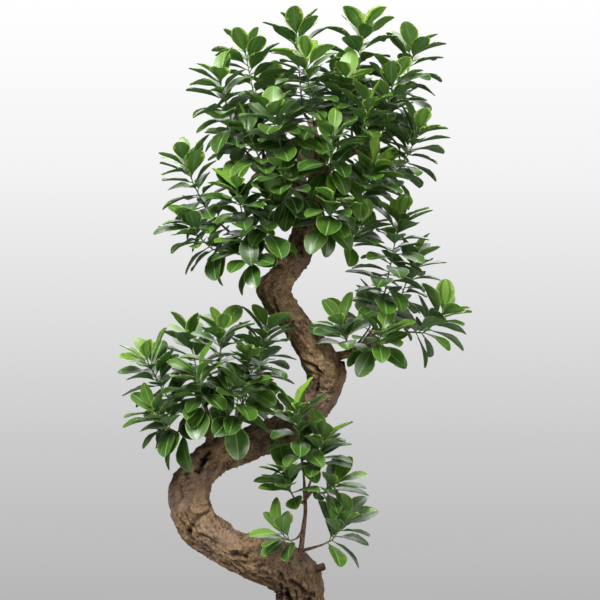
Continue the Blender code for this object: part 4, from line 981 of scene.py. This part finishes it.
def stem_tube(path):
    """The plain four-sided stick round a stem, for finding what touches it."""
    count = len(path)
    places, front, side, _ = frames_along(path)
    radii = np.linspace(STEM_RADIUS, STEM_TIP_RADIUS, count)[:, None]
    corners = [places + front * radii, places + side * radii, places - front * radii, places - side * radii]
    points = np.stack(corners, axis=1).reshape(-1, 3)
    faces = [(4 * i + k, 4 * i + (k + 1) % 4, 4 * i + 4 + (k + 1) % 4, 4 * i + 4 + k)
             for i in range(count - 1) for k in range(4)]
    return mesh_tree(points, faces)


cad_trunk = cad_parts["trunk"].data
standing = [(mesh_tree([v.co for v in cad_trunk.vertices], [tuple(p.vertices) for p in cad_trunk.polygons]),
             None, 0.0, "trunk")]
for name, stem in stems.items():
    standing.append((stem_tube(stem), (stem[0] + stem[-1]) / 2, (stem[0] - stem[-1]).length * STEM_REACH, name))


def is_clear(whole, blade, centre, reach, owner):
    """Whether a leaf touches nothing that already stands there. Its own stem it may touch with its stalk."""
    for tree, other, other_reach, other_owner in standing:
        if other and (other - centre).length > reach + other_reach:
            continue
        mine = blade if owner == other_owner else whole
        if mine.overlap(tree):
            return False
    return True


grown = {name: [] for name in SHOOTS}
for solid_leaves in (True, False):
    for rank, (name, path) in enumerate(stems.items()):
        draw = Random(LEAF_SEED + rank)
        turn = draw.uniform(0, math.tau)
        for index, place in enumerate(leaf_directions(path)):
            traits = leaf_draws(draw)
            if (index % SOLID_LEAF_STEP == 0) != solid_leaves:
                continue
            for dodge in LEAF_DODGES:
                leaf = leaf_choice(index, place, turn, traits, dodge)
                corners, tip = leaf_frame(*leaf, LEAF_CLEARANCE)
                blade = leaf_tree(corners, tip, False)
                centre = (corners[0][0] + tip) / 2
                if is_clear(leaf_tree(corners, tip, True), blade, centre, leaf[3] * LEAF_REACH, name):
                    standing.append((blade, centre, leaf[3] * LEAF_REACH, name))
                    grown[name].append((leaf, index, place[2]))
                    break


def leaf_outline(t):
    """The blade's half width at a share of the leaf's length, as a share of the widest."""
    share = (t - PETIOLE_SHARE) / (1.0 - PETIOLE_SHARE)
    return math.sin(math.pi * share ** 1.16) ** (0.86 - 0.30 * share)


blank_points, blank_faces, blank_values = [], [], []
sides = len(BLANK_ACROSS) + 1
for t, half in ((0.0, 1.3), (0.115, 1.0)):
    for k in range(sides):
        angle = math.tau * k / sides
        x, z = -PETIOLE_RADIUS * half * math.cos(angle), PETIOLE_RADIUS * half * math.sin(angle)
        blank_points.append((x * 20, t, z * 20))
        blank_values.append((0.0, t, (x, 0.0, z), 0.0, 0.0))
for t in BLANK_STATIONS:
    wide = leaf_outline(t)
    thin = BLADE_HALF_THICKNESS * (1.0 + 1.6 * math.exp(-(t - PETIOLE_SHARE) * 14))
    for s in BLANK_ACROSS:
        z = thin * (0.15 if abs(s) > 0.9 else 1.0 + 0.3 * (s == 0))
        blank_points.append((s * wide * 0.2, t, z * 20))
        blank_values.append((s * wide, t, (0.0, 0.0, z), s, 1.0))
    blank_points.append((0.0, t, -thin * 58))
    blank_values.append((0.0, t, (0.0, 0.0, -thin * 2.9), 0.0, -1.0))
rows = len(BLANK_STATIONS) + 2
for i in range(rows - 1):
    low = sides * i
    blank_faces += [(low + k, low + sides + k, low + sides + (k + 1) % sides, low + (k + 1) % sides)
                    for k in range(sides)]
blank_points.append((0.0, 1.0, 0.0))
blank_values.append((0.0, 1.0, (0.0, 0.0, 0.0), 0.0, 1.0))
last = sides * (rows - 1)
blank_faces += [(last + k, sides * rows, last + (k + 1) % sides) for k in range(sides)]
blank_faces.append(tuple(range(sides)))
leaf_mesh = mesh_from("leaf_blank", blank_points, blank_faces)
for slot, (name, kind) in enumerate((("leaf_s", "FLOAT"), ("leaf_t", "FLOAT"), ("leaf_off", "FLOAT_VECTOR"),
                                     ("leaf_across", "FLOAT"), ("leaf_face", "FLOAT"))):
    layer = leaf_mesh.attributes.new(name, kind, "POINT")
    values = np.array([row[slot] for row in blank_values], np.float32).ravel()
    layer.data.foreach_set("vector" if kind == "FLOAT_VECTOR" else "value", values)
bm = bmesh.new()
bm.from_mesh(leaf_mesh)
bmesh.ops.recalc_face_normals(bm, faces=bm.faces)
bm.verts.ensure_lookup_table()
for i in range(2, rows):
    for k in (0, sides - 2):
        ahead = sides * (i + 1) + k if i < rows - 1 else sides * rows
        bm.edges.get((bm.verts[sides * i + k], bm.verts[ahead])).smooth = False
bm.to_mesh(leaf_mesh)
bm.free()
leaf_blank = new_object("leaf_blank", leaf_mesh)

leafy, given, result = geometry_tree("leafy_shoot", (
    ("Leaf Blank", "NodeSocketObject", None), ("Fold", "NodeSocketFloat", 0.2), ("Wave", "NodeSocketFloat", 0.1),
    ("Stem Sides", "NodeSocketInt", 8), ("Shoot Material", "NodeSocketMaterial", None)))


def vector(tree, operation, *values):
    """The outcome of one sum on vectors. The number that scales a vector comes second."""
    keys = (0, 3) if operation == "SCALE" else range(len(values))
    node = add_node(tree, "ShaderNodeVectorMath", dict(zip(keys, values)), operation=operation)
    return node.outputs[0]


is_leaf = named(leafy, "is_leaf")
parts = add_node(leafy, "GeometryNodeSeparateGeometry", {
    "Geometry": given["Geometry"], "Selection": number(leafy, "GREATER_THAN", is_leaf, 0.5)})
blank = add_node(leafy, "GeometryNodeObjectInfo", {"Object": given["Leaf Blank"]}).outputs["Geometry"]
blades = add_node(leafy, "GeometryNodeInstanceOnPoints", {
    "Points": parts.outputs["Selection"], "Instance": blank}).outputs[0]
blades = add_node(leafy, "GeometryNodeRealizeInstances", {0: blades}).outputs[0]
t, s, off = named(leafy, "leaf_t"), named(leafy, "leaf_s"), named(leafy, "leaf_off", "FLOAT_VECTOR")
root = named(leafy, "root", "FLOAT_VECTOR")
along = named(leafy, "along", "FLOAT_VECTOR")
up = named(leafy, "up", "FLOAT_VECTOR")
length, width, arch = named(leafy, "length"), named(leafy, "width"), named(leafy, "arch")
twist, phase = named(leafy, "twist"), named(leafy, "phase")
turn = number(leafy, "MULTIPLY", arch, t)
sine, cosine = number(leafy, "SINE", turn), number(leafy, "COSINE", turn)
radius = number(leafy, "DIVIDE", length, arch)
forward = vector(leafy, "SCALE", along, number(leafy, "MULTIPLY", radius, sine))
drop = vector(leafy, "SCALE", up, number(leafy, "MULTIPLY", radius, number(leafy, "SUBTRACT", 1.0, cosine)))
middle = vector(leafy, "SUBTRACT", vector(leafy, "ADD", root, forward), drop)
lift = vector(leafy, "ADD", vector(leafy, "SCALE", up, cosine), vector(leafy, "SCALE", along, sine))
side = vector(leafy, "CROSS_PRODUCT", along, up)
twisted = number(leafy, "MULTIPLY", twist, t)
twist_cosine, twist_sine = number(leafy, "COSINE", twisted), number(leafy, "SINE", twisted)
across = vector(leafy, "ADD", vector(leafy, "SCALE", side, twist_cosine), vector(leafy, "SCALE", lift, twist_sine))
upward = vector(leafy, "SUBTRACT", vector(leafy, "SCALE", lift, twist_cosine), vector(leafy, "SCALE", side, twist_sine))
half = number(leafy, "MULTIPLY", number(leafy, "MULTIPLY", width, 0.5), s)
spread = number(leafy, "ABSOLUTE", half)
edge_wave = number(leafy, "SINE", number(leafy, "ADD", number(leafy, "MULTIPLY", t, 11.0), phase))
edge_wave = number(leafy, "MULTIPLY", edge_wave, number(leafy, "MULTIPLY", given["Wave"], spread))
rise = number(leafy, "ADD", number(leafy, "MULTIPLY", spread, given["Fold"]), edge_wave)
apart = add_node(leafy, "ShaderNodeSeparateXYZ", {0: off}).outputs
sideways = vector(leafy, "SCALE", across, number(leafy, "ADD", half, apart[0]))
upwards = vector(leafy, "SCALE", upward, number(leafy, "ADD", rise, apart[2]))
place = vector(leafy, "ADD", middle, vector(leafy, "ADD", sideways, upwards))
blades = add_node(leafy, "GeometryNodeSetPosition", {"Geometry": blades, "Position": place}).outputs[0]
line = add_node(leafy, "GeometryNodeMeshToCurve", {0: parts.outputs["Inverted"]}).outputs[0]
round_profile = add_node(leafy, "GeometryNodeCurvePrimitiveCircle", {"Resolution": given["Stem Sides"], "Radius": 1.0})
stick = add_node(leafy, "GeometryNodeCurveToMesh", {
    "Curve": line, "Profile Curve": round_profile.outputs[0], "Scale": named(leafy, "stem_radius"), "Fill Caps": True})
stick = add_node(leafy, "GeometryNodeSetShadeSmooth", {"Geometry": stick.outputs[0]}).outputs[0]
joined = add_node(leafy, "GeometryNodeJoinGeometry", {0: blades})
leafy.links.new(stick, joined.inputs[0])
real = add_node(leafy, "GeometryNodeRealizeInstances", {0: joined.outputs[0]}).outputs[0]
leafy.links.new(add_node(leafy, "GeometryNodeSetMaterial", {
    "Geometry": real, "Material": given["Shoot Material"]}).outputs[0], result[0])

leaf_finish, tree, shader = new_material("glossy_ficus_leaf", 0.32, Coat_Roughness=0.34, Subsurface_Scale=0.004,
                                             Subsurface_Radius=(0.7, 1.0, 0.3))


def attribute(tree, name):
    return add_node(tree, "ShaderNodeAttribute", attribute_name=name).outputs["Fac"]


across, along_t = attribute(tree, "leaf_across"), attribute(tree, "leaf_t")
youth, tone, facing = attribute(tree, "youth"), attribute(tree, "tone"), attribute(tree, "leaf_face")
is_blade = number(tree, "GREATER_THAN", number(tree, "ABSOLUTE", facing), 0.25)
patches, grain = add_mottle(tree, object_place(tree), 55.0, 1500.0, 1.4)
from_rib = number(tree, "ABSOLUTE", across)
rib = ramp_between(tree, from_rib, 0.02, 0.10, 1.0, 0.0)
slant = number(tree, "SUBTRACT", number(tree, "MULTIPLY", along_t, 13.0), number(tree, "MULTIPLY", from_rib, 2.2))
vein = number(tree, "ABSOLUTE", number(tree, "SUBTRACT", number(tree, "FRACT", slant), 0.5))
vein = ramp_between(tree, vein, 0.0, 0.12, 1.0, 0.0)
# Painted highlight: a pale rim along each leaf's edge stands in for light caught at the edges.
painted_rim_highlight = ramp_between(tree, from_rib, 0.90, 1.0)
leaf_tone = mix_color(tree, tone, (0.011, 0.038, 0.003), (0.042, 0.108, 0.008))
leaf_tone = mix_color(tree, ramp_between(tree, patches, 0.3, 0.9, 0.0, 0.4), leaf_tone, (0.066, 0.180, 0.018))
leaf_tone = mix_color(tree, youth, leaf_tone, (0.240, 0.440, 0.035))
under = mix_color(tree, youth, (0.085, 0.180, 0.060), (0.300, 0.480, 0.090))
leaf_tone = mix_color(tree, ramp_between(tree, facing, 0.0, -0.5), leaf_tone, under)
leaf_tone = mix_color(tree, number(tree, "MULTIPLY", vein, 0.22), leaf_tone, (0.130, 0.300, 0.060))
leaf_tone = mix_color(tree, number(tree, "MULTIPLY", rib, 0.60), leaf_tone, (0.240, 0.420, 0.110))
leaf_tone = mix_color(tree, number(tree, "MULTIPLY", painted_rim_highlight, 0.75), leaf_tone, (0.300, 0.500, 0.140))
stem_share = attribute(tree, "stem_share")
stem_tone = mix_color(tree, ramp_between(tree, stem_share, 0.1, 0.9), (0.110, 0.075, 0.040), (0.120, 0.220, 0.045))
stalk_tone = mix_color(tree, ramp_between(tree, stem_share, 0.0, 0.01, 0.0, 1.0), (0.120, 0.240, 0.050), stem_tone)
tree.links.new(mix_color(tree, is_blade, stalk_tone, leaf_tone), shader.inputs["Base Color"])
gloss = ramp_between(tree, facing, -0.5, 0.5, 0.55, 0.34)
tree.links.new(number(tree, "ADD", gloss, number(tree, "MULTIPLY", patches, 0.10)), shader.inputs["Roughness"])
tree.links.new(ramp_between(tree, facing, 0.0, 0.5, 0.0, 0.40), shader.inputs["Coat Weight"])
tree.links.new(number(tree, "MULTIPLY", is_blade, ramp_between(tree, youth, 0.0, 0.6, 0.25, 0.60)), shader.inputs["Subsurface Weight"])
ridges = number(tree, "ADD", number(tree, "MULTIPLY", rib, -1.0), number(tree, "MULTIPLY", vein, -0.35))
add_bump(tree, shader, number(tree, "ADD", ridges, number(tree, "MULTIPLY", grain, 0.10)), 0.5, 0.0007)

ATTRIBUTES = (("is_leaf", "FLOAT"), ("root", "FLOAT_VECTOR"), ("along", "FLOAT_VECTOR"), ("up", "FLOAT_VECTOR"),
              ("length", "FLOAT"), ("width", "FLOAT"), ("arch", "FLOAT"), ("twist", "FLOAT"), ("phase", "FLOAT"),
              ("youth", "FLOAT"), ("tone", "FLOAT"), ("stem_radius", "FLOAT"), ("stem_share", "FLOAT"))
for rank, (name, leaves) in enumerate(grown.items()):
    look = Random(LOOK_SEED + rank)
    flush = SHOOTS[name][4]
    rows = []
    for (root, along, face, length, width, arch), index, distance in leaves:
        side = along.cross(face).normalized()
        newest = max(0.0, 1.0 - distance / 0.030)
        youth = flush * newest ** 0.7 + max(0.0, look.gauss(0.0, 0.07))
        tone = min(1.0, max(0.0, look.gauss(0.42, 0.26) + 0.3 * newest))
        rows.append((1.0, root, along, side.cross(along).normalized(), length, width, arch,
                     math.radians(look.uniform(-14, 14)), look.uniform(0, math.tau), min(1.0, youth), tone, 0.0, 0.0))
    stem = stems[name]
    heading = (stem[-1] - stem[-2]).normalized()
    first = len(rows)
    line = [stem[0] - (stem[1] - stem[0]).normalized() * 0.004]
    for a, b in zip(stem, stem[1:]):
        line += [a.lerp(b, k / 4) for k in range(4)]
    line.append(stem[-1])
    tip_at = len(line) - 1
    line += [stem[-1] + heading * BUD_LENGTH * share for share in (0.25, 0.5, 0.75, 1.0)]
    for k, point in enumerate(line):
        share = min(1.0, k / tip_at)
        radius = STEM_RADIUS * 0.99 + (STEM_TIP_RADIUS - STEM_RADIUS) * share
        if k > tip_at:
            radius = (0.0015, 0.0013, 0.0008, 0.00012)[k - tip_at - 1]
        rows.append((0.0, point, point, point, 0.0, 0.0, 1.0, 0.0, 0.0, flush, 0.5, radius, 0.02 + 0.98 * share))
    mesh = bpy.data.meshes.new("shoot_" + name)
    mesh.from_pydata([row[1] for row in rows], [(i, i + 1) for i in range(first, len(rows) - 1)], [])
    for slot, (attribute_name, kind) in enumerate(ATTRIBUTES):
        layer = mesh.attributes.new(attribute_name, kind, "POINT")
        values = np.array([row[slot] for row in rows], np.float32).ravel()
        layer.data.foreach_set("vector" if kind == "FLOAT_VECTOR" else "value", values)
    shoot = new_object("blank_" + name, mesh)
    node_modifier(shoot, leafy, leaf_blank=leaf_blank, fold=math.tan(LEAF_FOLD), wave=0.06, stem_sides=8,
                  shoot_material=leaf_finish)
    shoot = finished(shoot, "foliage_" + name)
    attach(shoot, "root")
    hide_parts("shoot_" + name)
bpy.data.objects.remove(leaf_blank, do_unlink=True)
